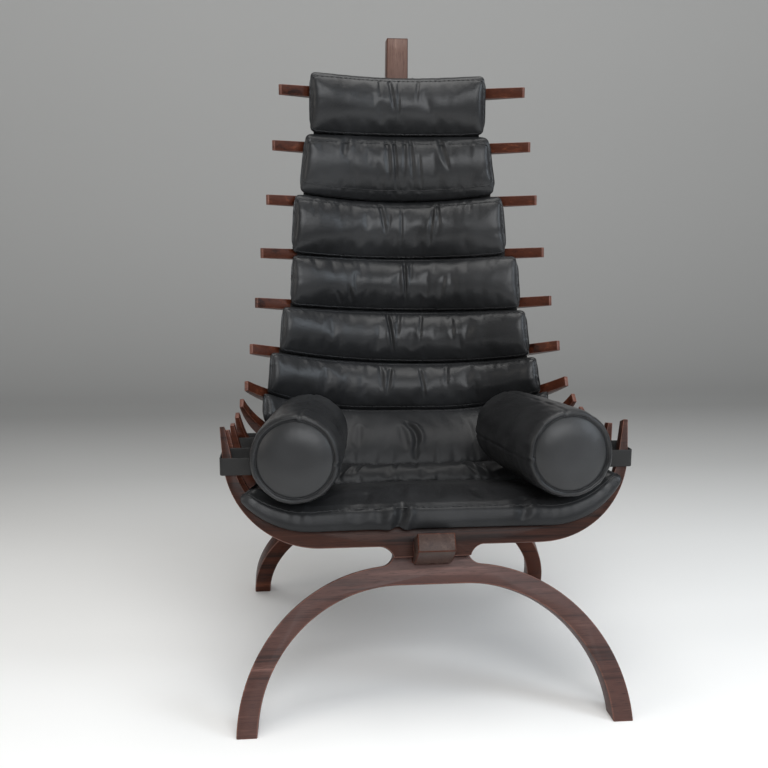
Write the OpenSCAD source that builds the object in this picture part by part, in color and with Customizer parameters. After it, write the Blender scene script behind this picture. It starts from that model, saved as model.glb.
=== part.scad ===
// High-backed lounge chair: a curved wooden spine carries twelve horned ribs, which hold a channelled
// leather cushion. Two arched leg frames carry the spine, and two leather bolsters hang on the horns by
// strap loops. X is across the chair, the sitter faces -Y, and the floor is at Z = 0.
// Words used below: "along" is the distance along the spine behind the front rib, "reach" is the distance
// square to the spine's front face, towards the sitter, and "heading" is the spine's angle over the level.

/* [Spine] */
// Width of the spine at its front end
spine_front_w = 62; // [50:1:80]
// Width of the spine at its top end
spine_top_w = 44; // [36:1:60]
// Thickness of the spine
spine_t = 42; // [36:1:52]
// Height of the spine's upper face over the floor at the front rib
front_rib_z = 286; // [260:1:320]
// Fall of the spine at the front rib, going back, in degrees
front_fall = 21; // [16:1:26]
// Radius of the seat curve
seat_curve_r = 594; // [500:1:700]
// Turn of the seat curve, in degrees
seat_turn = 27; // [22:1:32]
// Radius of the curve between seat and back
lumbar_curve_r = 287; // [260:1:340]
// Turn of the curve between seat and back, in degrees
lumbar_turn = 63.5; // [58:0.5:68]
// Radius of the lower back curve
back_curve_r = 985; // [800:5:1300]
// Turn of the lower back curve, in degrees
back_turn = 14.5; // [10:0.5:18]
// Radius of the upper back curve
upper_curve_r = 2683; // [2000:1:5000]
// Length of the spine over the centre of the top rib
spine_over_top = 118; // [70:1:160]
// Length of the spine in front of the centre of the front rib
nose_len = 60; // [40:1:90]
// Radius of the nose's upward curve
nose_curve_r = 300; // [200:1:600]
// Thickness of the nose at its tip
nose_t = 30; // [22:1:38]

/* [Ribs] */
// Number of ribs
rib_count = 12; // [12:1:12]
// Distance from rib to rib along the spine
rib_pitch = 112; // [106:1:118]
// Thickness of each rib board
rib_t = 20; // [16:1:24]
// Half of the span between the inner edges of the front rib's tips
front_half_span = 337; // [320:1:360]
// Half of the span between the inner edges of the top rib's tips
top_half_span = 242; // [220:1:265]
// Power of the rule by which the ribs narrow towards the top
span_power = 1.8; // [1.4:0.1:2.2]
// Reach of the seat ribs' tips
seat_tip_reach = 190; // [175:1:205]
// Reach of the top rib's tips
top_tip_reach = 128; // [115:1:145]
// Share of the ribs over which the reach changes
reach_share = 0.92; // [0.8:0.01:1]
// Power of the rule by which the reach changes
reach_power = 2.1; // [1.6:0.1:2.6]
// Slope of the front rib's arms, in degrees
front_arm_slope = 77; // [70:1:81]
// Slope of the top rib's arms, in degrees
top_arm_slope = 26; // [24:1:28]
// Share of the ribs, counted from the front, over which the arms lose half of their extra slope
slope_half_share = 0.49; // [0.46:0.01:0.52]
// Power of the rule by which the arms flatten: a higher one makes the change more sudden
slope_power = 7; // [6:0.5:8]
// Half of the flat middle of the front rib
front_flat_half = 192; // [170:1:205]
// Share of the ribs, counted from the front, over which the flat middle shrinks to nothing
flat_share = 0.55; // [0.54:0.01:0.6]
// Power of the rule by which the flat middle shrinks
flat_power = 2.1; // [2:0.1:2.4]
// Share of the flat middle that the ribs' outer edges have
outer_flat_share = 0.94; // [0.88:0.01:1]
// Height of the front rib's inner edge over the spine's face
front_rib_rise = 22; // [16:1:30]
// Height of the top rib's inner edge over the spine's face
top_rib_rise = 45; // [36:1:52]
// Width of each horn at its tip
tip_w = 7.5; // [6:0.5:9]
// Extra slope of the front rib's outer edge, which tapers its horns, in degrees
front_horn_taper = 8; // [5:1:9]
// Extra slope of the back ribs' outer edges, which tapers their horns, in degrees
back_horn_taper = 18; // [12:1:19]
// Share of the ribs, counted from the front, over which that extra slope grows
horn_taper_share = 0.27; // [0.2:0.01:0.4]
// Greatest slope of the ribs' outer edges, in degrees
horn_slope_limit = 86; // [84:1:88]
// Depth to which a rib's outer edge passes the spine's face
rib_lap = 12; // [8:1:16]
// Depth of the housing cut in the spine for each rib
rib_housing = 6; // [4:1:7]
// Depth of the front rib's saddle below the spine's face
front_saddle = 30; // [24:1:34]
// Radius of the fillets beside the front rib's saddle
rib_fillet_r = 25; // [18:1:30]

/* [Legs] */
// Outer radius of each leg's arch
arch_r = 264; // [240:1:280]
// Half of the flat between the two arch curves
arch_flat_half = 55; // [45:1:65]
// Width of the leg board in its own plane
leg_w = 33; // [28:1:40]
// Thickness of the leg board
leg_t = 34; // [28:1:40]
// Place of the rear leg along the spine, in rib distances
rear_leg_at = 3.4; // [3.35:0.01:3.6]
// Half of the width of the saddle ears
ear_half_w = 62; // [58:1:70]
// Height of the ears over the spine's lower face
ear_h = 34; // [28:1:36]
// Radius of the fillets between ears and arch
ear_fillet_r = 22; // [16:1:28]
// Depth of the housing cut in the spine for each leg
leg_housing = 4; // [3:0.5:6]

/* [Cushion] */
// Length of the head pad over the centre of the top rib
head_pad_over = 38; // [20:1:60]
// Length of the head pad along the spine
head_pad_len = 124; // [100:1:140]
// Length of each of the two pads below the head pad
upper_pad_len = 125; // [100:1:140]
// Length of each of the three back pads below them
back_pad_len = 113; // [95:1:130]
// Length of the lumbar pad
lumbar_pad_len = 181; // [150:1:210]
// Length of the rear seat pad
rear_seat_pad_len = 94; // [70:1:120]
// Length of the front seat pad in front of the centre of the front rib
seat_pad_over = 20; // [10:1:30]
// Crown of the pads over the ribs
pad_crown = 42; // [34:1:44]
// Height of the pads at their seams
pad_seam_h = 16; // [12:1:22]
// Height of the front seat pad at its front seam
front_seam_h = 28; // [20:1:32]
// Half of the head pad's width, measured along the rib
head_half_w = 187; // [170:1:195]
// Half of the front pad's width, measured along the rib
seat_half_w = 330; // [310:1:335]
// Share of the back, counted from the front rib, over which the pads have their full width
pad_wide_share = 0.41; // [0.35:0.01:0.5]
// Share of the back over which the pads are wider than the head pad
pad_head_share = 0.935; // [0.85:0.005:0.95]
// Share of that widening which shows within each pad
pad_flare = 0.4; // [0:0.05:1]
// Share of the crown that is left at the pads' ends
pad_end_share = 0.5; // [0.4:0.05:0.6]
// Depth by which the pads draw in beside the rear straps
strap_recess = 60; // [40:1:80]
// Length along the spine, from the rear straps, over which the pads widen again
strap_recess_len = 130; // [100:1:160]
// Width of the leather hanger at the head pad
hanger_w = 24; // [18:1:30]
// Room between the hanger and the sides of the spine
hanger_room = 4; // [2:1:6]

/* [Bolsters] */
// Radius of the bolsters at the middle
bolster_r = 72; // [66:1:73]
// Length of a bolster without its end panels
bolster_len = 322; // [290:1:340]
// Distance between a bolster and the tip of the front rib, across the chair
bolster_side = 43; // [42:1:50]
// Distance that a bolster stands out in front of the front rib's plane
bolster_overhang = 83; // [60:1:95]
// Height of the bolsters' lower side over the inner edge of the front rib
bolster_low = 29; // [28:1:40]
// Fall of the bolsters towards the back, in degrees
bolster_fall = 4.8; // [4:0.1:5.4]
// Turn of the bolsters towards the middle of the chair, in degrees
bolster_toe_in = 4.6; // [3.6:0.1:5.2]
// Outward lean of the way in which the bolsters lift off, in degrees
lift_out = 27; // [24:1:30]
// Forward lean of the way in which the bolsters lift off, in degrees
lift_forward = 12; // [11:0.5:14]
// Radius of the end panels
panel_r = 63; // [54:1:63]
// Crown of the end panels
panel_crown = 7; // [4:1:10]
// Radius of the piping cord
piping_r = 2.6; // [2:0.1:3]
// Width of the strap
strap_w = 29; // [24:1:30]
// Thickness of the strap
strap_t = 2.5; // [2:0.1:3.5]
// Drop of the front strap below the front rib's tip
front_strap_drop = 57; // [55:1:64]
// Drop of the rear strap below its rib's tip
rear_strap_drop = 58; // [57:1:62]
// Room between a strap loop and the horn
strap_room = 0.4; // [0.4:0.1:4]

/* [Fasteners] */
// Radius of the rib screws
screw_r = 2.5; // [2:0.1:3]
// Length of the rib screws
screw_len = 50; // [44:1:52]
// Radius of a screw's head and of its plug
screw_head_r = 5; // [4:0.1:6]
// Height of a screw's head
screw_head_h = 3; // [2:0.1:3.5]
// Depth of the hole for a screw's head and plug
plug_depth = 8; // [7:0.5:10]
// Radius of the leg bolts
bolt_r = 4; // [3:0.1:5]
// Half of the distance between a leg's two bolts
bolt_half_gap = 14; // [12:1:16]
// Radius of a leg bolt's head
bolt_head_r = 6.5; // [6:0.1:7]
// Height of a leg bolt's head
bolt_head_h = 5; // [4:0.1:6]
// Radius of the bolt washers
washer_r = 9; // [8:0.1:10]
// Thickness of the bolt washers
washer_t = 1.6; // [1:0.1:2]
// Depth of the hole for a leg bolt's head
bolt_sink = 8; // [8:0.5:10]
// Radius of the threaded inserts
insert_r = 6; // [5.5:0.1:7]
// Length of the threaded inserts
insert_len = 20; // [16:1:24]
// Wood left between an insert and the spine's upper face
insert_cover = 14; // [9:1:14]

/* [Hidden] */

// Fits
rest_gap = 0.3;
hole_gap = 0.1;
spine_gap = 0.3;
eps = 0.01;

// Finishes
wood = [0.29, 0.13, 0.09];
dark_wood = [0.2, 0.09, 0.06];
leather = [0.1, 0.1, 0.11];
panel_leather = [0.13, 0.13, 0.14];
steel = [0.6, 0.6, 0.62];

// Fineness of the curves
arc_step = 3;
round_fn = 96;
pad_columns = 24;
pad_row = 19;

deg = 180 / PI;
last_rib = rib_count - 1;

// A place on the spine is [y, z, heading]. This one lies a turn further along an arc of radius r.
function turned(p, r, turn) = [
    p[0] + r * (sin(p[2] + turn) - sin(p[2])),
    p[1] - r * (cos(p[2] + turn) - cos(p[2])),
    p[2] + turn
];
// A place of the frame that stands at p, moved along and reached out
function placed(p, along, reach) = [
    p[0] + along * cos(p[2]) - reach * sin(p[2]),
    p[1] + along * sin(p[2]) + reach * cos(p[2])
];

front_place = [0, front_rib_z, -front_fall];
seat_end = turned(front_place, seat_curve_r, seat_turn);
lumbar_end = turned(seat_end, lumbar_curve_r, lumbar_turn);
back_end = turned(lumbar_end, back_curve_r, back_turn);
seat_len = seat_curve_r * seat_turn / deg;
lumbar_len = lumbar_curve_r * lumbar_turn / deg;
back_len = back_curve_r * back_turn / deg;
spine_len = last_rib * rib_pitch + spine_over_top;

// Place of the spine's front face at a distance along it
function spine_at(s) =
    s < 0 ? turned(front_place, nose_curve_r, s * deg / nose_curve_r) :
    s < seat_len ? turned(front_place, seat_curve_r, s * deg / seat_curve_r) :
    s < seat_len + lumbar_len ? turned(seat_end, lumbar_curve_r, (s - seat_len) * deg / lumbar_curve_r) :
    s < seat_len + lumbar_len + back_len ?
        turned(lumbar_end, back_curve_r, (s - seat_len - lumbar_len) * deg / back_curve_r) :
    turned(back_end, upper_curve_r, (s - seat_len - lumbar_len - back_len) * deg / upper_curve_r);

spine_row = 14;
spine_rows = [for (i = [0 : ceil((spine_len + nose_len) / spine_row)])
    min(spine_len, -nose_len + i * spine_row)];
function spine_depth(s) = s < 0 ? spine_t + (spine_t - nose_t) * s / nose_len : spine_t;
spine_front_points = [for (s = spine_rows) placed(spine_at(s), 0, 0)];
spine_back_points = [for (i = [len(spine_rows) - 1 : -1 : 0])
    placed(spine_at(spine_rows[i]), 0, -spine_depth(spine_rows[i]))];

// The origin is midway between the front of the front feet and the back of the spine
front_leg_along = rib_t / 2 + leg_t / 2;
foot_reach = -(front_rib_z + rib_t / 2 * sin(-front_fall)) / cos(front_fall);
front_edge_y = placed(front_place, rib_t / 2, foot_reach)[0];
back_edge_y = max([for (q = spine_back_points) q[0]]);
centre_y = (front_edge_y + back_edge_y) / 2;

// Width of the spine at a height: it is even over the seat and narrows up the back
spine_low_z = min([for (q = spine_back_points) q[1]]);
spine_high_z = max([for (q = spine_front_points) q[1]]);
function spine_half_w(z) =
    (spine_front_w - (spine_front_w - spine_top_w) * (z - spine_low_z) / (spine_high_z - spine_low_z)) / 2;

// Rules by which the ribs change. Up is 0 at the front rib and 1 at the top rib.
function up_of(s) = max(0, s / (last_rib * rib_pitch));
function turn_share(up) = (1 + cos(180 * pow(min(1, up / reach_share), reach_power))) / 2;
function half_span(up) = front_half_span - (front_half_span - top_half_span) * pow(up, span_power);
function tip_reach(up) = top_tip_reach + (seat_tip_reach - top_tip_reach) * turn_share(up);
function arm_slope(up) =
    top_arm_slope + (front_arm_slope - top_arm_slope) / (1 + pow(up / slope_half_share, slope_power));
function rib_rise(up) = front_rib_rise + (top_rib_rise - front_rib_rise) * up;
function flat_half(up) = front_flat_half * max(0, 1 - pow(up / flat_share, flat_power));

// An edge of a rib is [flat half, arc radius, slope of the arm, height of the flat, arm length], from the
// place of its tip
function edge(x, reach, slope, flat, low) =
    let (r = (x - flat - (reach - low) / tan(slope)) / tan(slope / 2))
    [flat, r, slope, low, (reach - low - r * (1 - cos(slope))) / sin(slope)];
function inner_edge(up) = edge(half_span(up), tip_reach(up), arm_slope(up), flat_half(up), rib_rise(up));
// A full slope would bend the outer edge all the way to the tip
function full_slope(up) =
    2 * atan((tip_reach(up) - tip_w + rib_lap) / (half_span(up) + tip_w - outer_flat_share * flat_half(up)));
function horn_slope(up) =
    min(
        horn_slope_limit, 0.99 * full_slope(up),
        arm_slope(up) + front_horn_taper +
            (back_horn_taper - front_horn_taper) * min(1, up / horn_taper_share)
    );
function outer_edge(up) =
    let (slope = horn_slope(up))
    edge(
        half_span(up) + tip_w * sin(slope),
        tip_reach(up) - tip_w * cos(slope),
        slope, outer_flat_share * flat_half(up), -rib_lap
    );
// Points of an edge from the middle of the rib to its tip
function edge_points(e) =
    let (n = ceil(e[2] / arc_step))
    concat(
        [for (i = [0 : n]) [e[0] + e[1] * sin(e[2] * i / n), e[3] + e[1] * (1 - cos(e[2] * i / n))]],
        [[e[0] + e[1] * sin(e[2]) + e[4] * cos(e[2]), e[3] + e[1] * (1 - cos(e[2])) + e[4] * sin(e[2])]]
    );
// Point of an edge at a distance from the middle, with a height over it: [x, reach]
function edge_at(e, l, h) =
    let (
        turn = l < e[0] ? 0 : min(e[2], (l - e[0]) / e[1] * deg),
        arm = max(0, l - e[0] - e[1] * e[2] / deg),
        flat = min(l, e[0])
    )
    [
        flat + e[1] * sin(turn) + arm * cos(turn) - h * sin(turn),
        e[3] + e[1] * (1 - cos(turn)) + arm * sin(turn) + h * cos(turn)
    ];
function reversed(p) = [for (i = [len(p) - 1 : -1 : 0]) p[i]];
function mirrored(p) = [for (q = p) [-q[0], q[1]]];

// Stands a flat drawing, whose axes are X and reach, square to the spine at a place, centred on it
module stand(p, thickness) {
    translate([0, p[0] - centre_y, p[1]])
        rotate([90 + p[2], 0, 0])
            translate([0, 0, -thickness / 2])
                linear_extrude(thickness) children();
}

// Stands solids that point along their own Z so that they point out of the spine's face at a place
module reach_out(p, along, x, reach) {
    q = placed(p, along, reach);
    translate([x, q[0] - centre_y, q[1]])
        rotate([p[2], 0, 0])
            children();
}

front_rib_place = spine_at(0);
rear_leg_place = spine_at(rear_leg_at * rib_pitch);
function rib_place(k) = spine_at((rib_count - k) * rib_pitch);
function rib_up(k) = (rib_count - k) / last_rib;

module rib_outline(k) {
    up = rib_up(k);
    inner = edge_points(inner_edge(up));
    outer = edge_points(outer_edge(up));
    saddle = k == rib_count ? front_saddle_points : [];
    polygon(concat(
        inner, reversed(outer), saddle,
        reversed(mirrored(saddle)), mirrored(outer), reversed(mirrored(inner))
    ));
}

// The front rib reaches down beside the spine, onto the front leg
saddle_turn = acos(1 - (front_saddle - rib_lap) / rib_fillet_r);
front_saddle_points = [for (i = [0 : 8])
    let (turn = saddle_turn * i / 8)
    [ear_half_w + rib_fillet_r * (1 - sin(turn)), -rib_lap - rib_fillet_r * (1 - cos(turn))]];

module rib(k) {
    place = rib_place(k);
    half = spine_half_w(place[1] - rib_t) + spine_gap;
    color(wood) difference() {
        stand(place, rib_t) difference() {
            rib_outline(k);
            translate([-half, -spine_t]) square([2 * half, spine_t - rib_housing]);
        }
        rib_screw_hole(k);
        if (k == rib_count) front_rib_screw_holes();
    }
}

module rib_screw_hole(k) {
    reach_out(rib_place(k), 0, 0, -spine_t)
        cylinder(r = screw_r + hole_gap, h = plug_depth + screw_len + 1, $fn = round_fn / 3);
}

module spine() {
    color(wood) difference() {
        intersection() {
            translate([-spine_front_w / 2, -centre_y, 0]) rotate([90, 0, 90])
                linear_extrude(spine_front_w) polygon(concat(spine_front_points, spine_back_points));
            translate([0, spine_high_z, 0]) rotate([90, 0, 0]) linear_extrude(2 * spine_high_z)
                polygon([
                    [-spine_front_w / 2, spine_low_z - 1], [spine_front_w / 2, spine_low_z - 1],
                    [spine_front_w / 2, spine_low_z],
                    [spine_top_w / 2, spine_high_z], [spine_top_w / 2, spine_high_z + 1],
                    [-spine_top_w / 2, spine_high_z + 1], [-spine_top_w / 2, spine_high_z],
                    [-spine_front_w / 2, spine_low_z]
                ]);
        }
        for (k = [1 : rib_count]) {
            stand(rib_place(k), rib_t)
                translate([-spine_front_w, -rib_housing]) square([2 * spine_front_w, 2 * rib_housing]);
            rib_screw_hole(k);
            reach_out(rib_place(k), 0, 0, -spine_t - 2)
                cylinder(r = screw_head_r + hole_gap, h = plug_depth + 2, $fn = round_fn / 3);
        }
        leg_housing_cut(front_rib_place, front_leg_along);
        leg_housing_cut(rear_leg_place, 0);
    }
}

module leg_housing_cut(place, along) {
    seat = -spine_t + leg_housing;
    q = placed(place, along, 0);
    stand([q[0], q[1], place[2]], leg_t)
        translate([-spine_front_w, seat - 2 * leg_housing]) square([2 * spine_front_w, 2 * leg_housing]);
    for (x = [-bolt_half_gap, bolt_half_gap])
        reach_out(place, along, x, seat - 1)
            cylinder(r = insert_r + hole_gap, h = 1 - seat - insert_cover, $fn = round_fn / 2);
}

module arch_outline(r, flat) {
    top = -spine_t - arch_r;
    for (side = [-1, 1]) translate([side * flat, top]) circle(r, $fn = 4 * round_fn);
    translate([-flat, top]) square([2 * flat, r]);
    translate([-flat - r, 2 * top]) square([2 * (flat + r), -top]);
}

module leg_frame(place, along) {
    q = placed(place, along, 0);
    seat = -spine_t + leg_housing;
    shoulder = ear_half_w + ear_fillet_r;
    ear_fillet_reach = -spine_t - arch_r +
        sqrt(pow(arch_r + ear_fillet_r, 2) - pow(shoulder - arch_flat_half, 2));
    ear_foot = arch_flat_half + arch_r * (shoulder - arch_flat_half) / (arch_r + ear_fillet_r);
    half = spine_half_w(place[1] - spine_t) + spine_gap;
    color(wood) difference() {
        stand([q[0], q[1], place[2]], leg_t) difference() {
            union() {
                arch_outline(arch_r, arch_flat_half);
                difference() {
                    translate([-ear_foot, -spine_t - 4]) square([2 * ear_foot, ear_h + 4]);
                    for (side = [-1, 1]) {
                        translate([side * shoulder, ear_fillet_reach]) circle(ear_fillet_r, $fn = round_fn);
                        translate([side * shoulder - ear_fillet_r, ear_fillet_reach])
                            square([2 * ear_fillet_r, spine_t]);
                    }
                }
            }
            arch_outline(arch_r - leg_w, arch_flat_half);
            translate([-half, seat]) square([2 * half, spine_t]);
        }
        translate([-2 * arch_r, -4 * arch_r, -4 * arch_r]) cube([4 * arch_r, 8 * arch_r, 4 * arch_r]);
        for (x = [-bolt_half_gap, bolt_half_gap]) {
            reach_out(place, along, x, -spine_t - leg_w - 1)
                cylinder(r = washer_r + hole_gap, h = bolt_sink + 1, $fn = round_fn / 2);
            reach_out(place, along, x, -spine_t - leg_w)
                cylinder(r = bolt_r + hole_gap, h = leg_w + leg_housing + 1, $fn = round_fn / 2);
        }
        if (along > 0) front_rib_screw_holes();
    }
}

module rib_screws() {
    color(steel) for (k = [1 : rib_count])
        reach_out(rib_place(k), 0, 0, -spine_t + plug_depth) {
            translate([0, 0, -screw_head_h])
                cylinder(r = screw_head_r, h = screw_head_h, $fn = round_fn / 3);
            translate([0, 0, -eps]) cylinder(r = screw_r, h = screw_len + eps, $fn = round_fn / 3);
        }
}

module screw_plugs() {
    color(dark_wood) for (k = [1 : rib_count])
        reach_out(rib_place(k), 0, 0, -spine_t + rest_gap)
            cylinder(r = screw_head_r, h = plug_depth - screw_head_h - rest_gap, $fn = round_fn / 3);
}

// Two screws hold the front rib's saddle to the ears of the front leg, from behind
front_screw_x = (ear_half_w + spine_half_w(front_rib_z - spine_t)) / 2;
front_screw_reach = -(front_saddle + rib_lap) / 2 - 1;
front_screw_len = leg_t - plug_depth + rib_t * 0.7;
module front_rib_screw(gap, head_len) {
    for (side = [-1, 1])
        reach_out(front_rib_place, rib_t / 2 + leg_t - plug_depth, side * front_screw_x, front_screw_reach)
            rotate([-90, 0, 0]) {
                cylinder(r = screw_head_r + gap, h = head_len, $fn = round_fn / 3);
                translate([0, 0, -front_screw_len - gap])
                    cylinder(r = screw_r + gap, h = front_screw_len + gap + eps, $fn = round_fn / 3);
            }
}
module front_rib_screw_holes() {
    front_rib_screw(hole_gap, plug_depth + 1);
}
module front_rib_screws() {
    color(steel) front_rib_screw(0, screw_head_h);
}

leg_places = [[front_rib_place, front_leg_along], [rear_leg_place, 0]];
bolt_low = -spine_t - leg_w + bolt_sink;
module at_leg_bolts(reach) {
    for (leg = leg_places)
        for (x = [-bolt_half_gap, bolt_half_gap])
            reach_out(leg[0], leg[1], x, reach) children();
}
module leg_bolts() {
    color(steel) at_leg_bolts(bolt_low - washer_t - bolt_head_h) {
        cylinder(r = bolt_head_r, h = bolt_head_h, $fn = round_fn / 2);
        cylinder(
            r = bolt_r, h = bolt_head_h + washer_t - bolt_low - insert_cover - rest_gap, $fn = round_fn / 2
        );
    }
}
module leg_bolt_washers() {
    color(steel) at_leg_bolts(bolt_low - washer_t) difference() {
        cylinder(r = washer_r, h = washer_t, $fn = round_fn / 2);
        translate([0, 0, -1]) cylinder(r = bolt_r + hole_gap, h = washer_t + 2, $fn = round_fn / 2);
    }
}
module leg_bolt_inserts() {
    color(steel) at_leg_bolts(-insert_cover - insert_len) difference() {
        cylinder(r = insert_r, h = insert_len, $fn = round_fn / 2);
        translate([0, 0, -1]) cylinder(r = bolt_r + hole_gap, h = insert_len + 2, $fn = round_fn / 2);
    }
}

// A pad is a row of closed loops across the chair. Each loop runs along the ribs' inner edge and comes back
// over the crown, and the loops draw in towards the pad's ends.
head_pad_top = last_rib * rib_pitch + head_pad_over;
function seam(i) = head_pad_top - (i > 0 ? head_pad_len : 0) - upper_pad_len * max(0, min(2, i - 1)) -
    back_pad_len * max(0, min(3, i - 3)) - (i > 6 ? lumbar_pad_len : 0) - (i > 7 ? rear_seat_pad_len : 0);
front_pad = 8;
rear_strap_rib = 9;
rear_strap_along = (rib_count - rear_strap_rib) * rib_pitch;
function recess(s) =
    strap_recess * (1 + cos(180 * min(1, pow((s - rear_strap_along) / strap_recess_len, 2)))) / 2;
function pad_half_w(s, mid) =
    let (
        up = up_of(mid + pad_flare * (s - mid)),
        share = max(0, min(1, (pad_head_share - up) / (pad_head_share - pad_wide_share)))
    )
    head_half_w + (seat_half_w - head_half_w) * share - recess(s);
// The underside keeps to each rib's own edge over the rib's thickness, and changes between the ribs
rib_share = 0.3;
function up_under(s) =
    let (n = round(s / rib_pitch), d = s / rib_pitch - n, over = max(0, abs(d) - rib_share))
    min(1, max(0, (n + (d < 0 ? -1 : 1) * over * 0.5 / (0.5 - rib_share)) / last_rib));
function pad_point(s, mid, c, h, up) =
    let (q = edge_at(inner_edge(up), abs(c) * pad_half_w(s, mid), h), place = placed(spine_at(s), 0, q[1]))
    [(c < 0 ? -1 : 1) * q[0], place[0] - centre_y, place[1]];
// The pads give way under the bolsters
bolster_axis = [-cos(bolster_fall) * sin(bolster_toe_in), cos(bolster_fall) * cos(bolster_toe_in),
    -sin(bolster_fall)];
dent_room = 1.6;
function dented(p) =
    let (
        q = [abs(p[0]) - bolster_front_x, p[1] + centre_y - bolster_front[0], p[2] - bolster_front[1]],
        a = q * bolster_axis,
        w = q - a * bolster_axis,
        d = norm(w),
        r = bolster_r + dent_room - max(0, a - bolster_skin_len - 4) - max(0, -a - 4),
        move = d < r ? w * (r - d) / d : [0, 0, 0]
    )
    p + [(p[0] < 0 ? -1 : 1) * move[0], move[1], move[2]];
function pad_loop(i, c) =
    let (
        s0 = i == front_pad ? -seat_pad_over : seam(i + 1) + rest_gap,
        s1 = seam(i) - rest_gap,
        mid = (s0 + s1) / 2,
        rows = ceil((s1 - s0) / pad_row),
        drawn = pad_draw * pow(abs(c), 8),
        share = 1 - (1 - pad_end_share) * pow(abs(c), 4),
        front_h = i == front_pad ? front_seam_h : pad_seam_h
    )
    concat(
        [for (j = [0 : rows])
            let (s = s0 + drawn + (s1 - s0 - 2 * drawn) * j / rows)
            pad_point(s, mid, c, rest_gap + pad_lift, up_under(s))],
        [for (j = [rows : -1 : 0])
            let (
                u = j / rows,
                s = s0 + drawn + (s1 - s0 - 2 * drawn) * (u + 0.015 * sin(360 * u)),
                low = front_h + (pad_seam_h - front_h) * u
            )
            dented(pad_point(
                s, mid, c, share * (low + (pad_crown - low) * pow(sin(180 * u), 0.55)), min(1, up_of(s))
            ))]
    );
pad_lift = 0.4;
pad_draw = 7;

module pad(i) {
    loops = [for (j = [-pad_columns / 2 : pad_columns / 2]) pad_loop(i, sin(90 * 2 * j / pad_columns))];
    m = len(loops[0]);
    n = len(loops);
    points = [for (loop = loops) for (p = loop) p];
    sides = [for (i = [0 : n - 2]) for (j = [0 : m - 1])
        let (a = i * m + j, b = i * m + (j + 1) % m)
        for (f = [[a, b, a + m], [b, b + m, a + m]]) f];
    half = m / 2;
    caps = [for (j = [0 : half - 2])
        for (f = [
            [j, m - 1 - j, j + 1], [j + 1, m - 1 - j, m - 2 - j],
            [(n - 1) * m + j, (n - 1) * m + j + 1, (n - 1) * m + m - 1 - j],
            [(n - 1) * m + j + 1, (n - 1) * m + m - 2 - j, (n - 1) * m + m - 1 - j]
        ]) f];
    color(leather) polyhedron(points, concat(sides, caps));
}

// A band of leather behind the spine holds the top of the head pad
hanger_place = spine_at(last_rib * rib_pitch + rib_t / 2 + hanger_w / 2 + 1);
module head_pad_hanger() {
    half = spine_half_w(hanger_place[1]) + hanger_room;
    top = rib_rise(1) + 0.3;
    color(leather) stand(hanger_place, hanger_w) difference() {
        translate([-half - strap_t, -spine_t - rest_gap - strap_t])
            square([2 * (half + strap_t), spine_t + rest_gap + strap_t + top]);
        translate([-half, -spine_t - rest_gap]) square([2 * half, spine_t + 2 * top]);
    }
}

// The bolsters lie along a line from the front end of their axis
bolster_front_x = front_half_span - bolster_side - bolster_r;
bolster_front = placed(front_rib_place, -bolster_overhang, front_rib_rise + bolster_low + bolster_r);
bolster_skin_len = bolster_len + 2 * panel_crown;
module along_bolster(side, distance) {
    mirror([side < 0 ? 1 : 0, 0, 0])
        translate([bolster_front_x, bolster_front[0] - centre_y, bolster_front[1]])
            rotate([-bolster_fall, 0, bolster_toe_in])
                rotate([-90, 0, 0])
                    translate([0, 0, distance]) children();
}
function bolster_place(distance) = [
    bolster_front_x - distance * cos(bolster_fall) * sin(bolster_toe_in),
    bolster_front[0] + distance * cos(bolster_fall) * cos(bolster_toe_in),
    bolster_front[1] - distance * sin(bolster_fall)
];

bolster_shoulder = 12;
function bolster_radius(u) = bolster_r * (1 - 0.03 * pow(abs(2 * u - 1), 4));
bolster_profile = concat(
    [[0, 0], [panel_r, 0]],
    [for (a = [15 : 15 : 75]) [
        panel_r + (bolster_radius(0) - panel_r) * sin(a), bolster_shoulder * (1 - cos(a))
    ]],
    [for (i = [0 : 12])
        let (u = i / 12)
        [bolster_radius(u), bolster_shoulder + (bolster_len - 2 * bolster_shoulder) * u]],
    [for (a = [75 : -15 : 15]) [
        panel_r + (bolster_radius(0) - panel_r) * sin(a), bolster_len - bolster_shoulder * (1 - cos(a))
    ]],
    [[panel_r, bolster_len], [0, bolster_len]]
);
module bolster(side) {
    color(leather) along_bolster(side, panel_crown)
        rotate_extrude($fn = round_fn) polygon(bolster_profile);
}
panel_edge_h = 1;
module bolster_end_panel() {
    inner = panel_r - 2 * piping_r - rest_gap;
    rotate_extrude($fn = round_fn) polygon(concat(
        [[0, 0], [inner, 0]],
        [for (a = [0 : 15 : 75]) [
            inner * cos(a), panel_edge_h + (panel_crown - panel_edge_h) * sin(a)
        ]],
        [[0, panel_crown]]
    ));
}
module bolster_end_panels(side) {
    color(panel_leather) {
        along_bolster(side, panel_crown) mirror([0, 0, 1]) bolster_end_panel();
        along_bolster(side, panel_crown + bolster_len) bolster_end_panel();
    }
}
module bolster_piping(side) {
    ends = [panel_crown - piping_r - rest_gap, panel_crown + bolster_len + piping_r + rest_gap];
    color(leather) for (end = ends)
        along_bolster(side, end)
            rotate_extrude($fn = round_fn) translate([panel_r - piping_r, 0]) circle(piping_r, $fn = 24);
}

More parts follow.
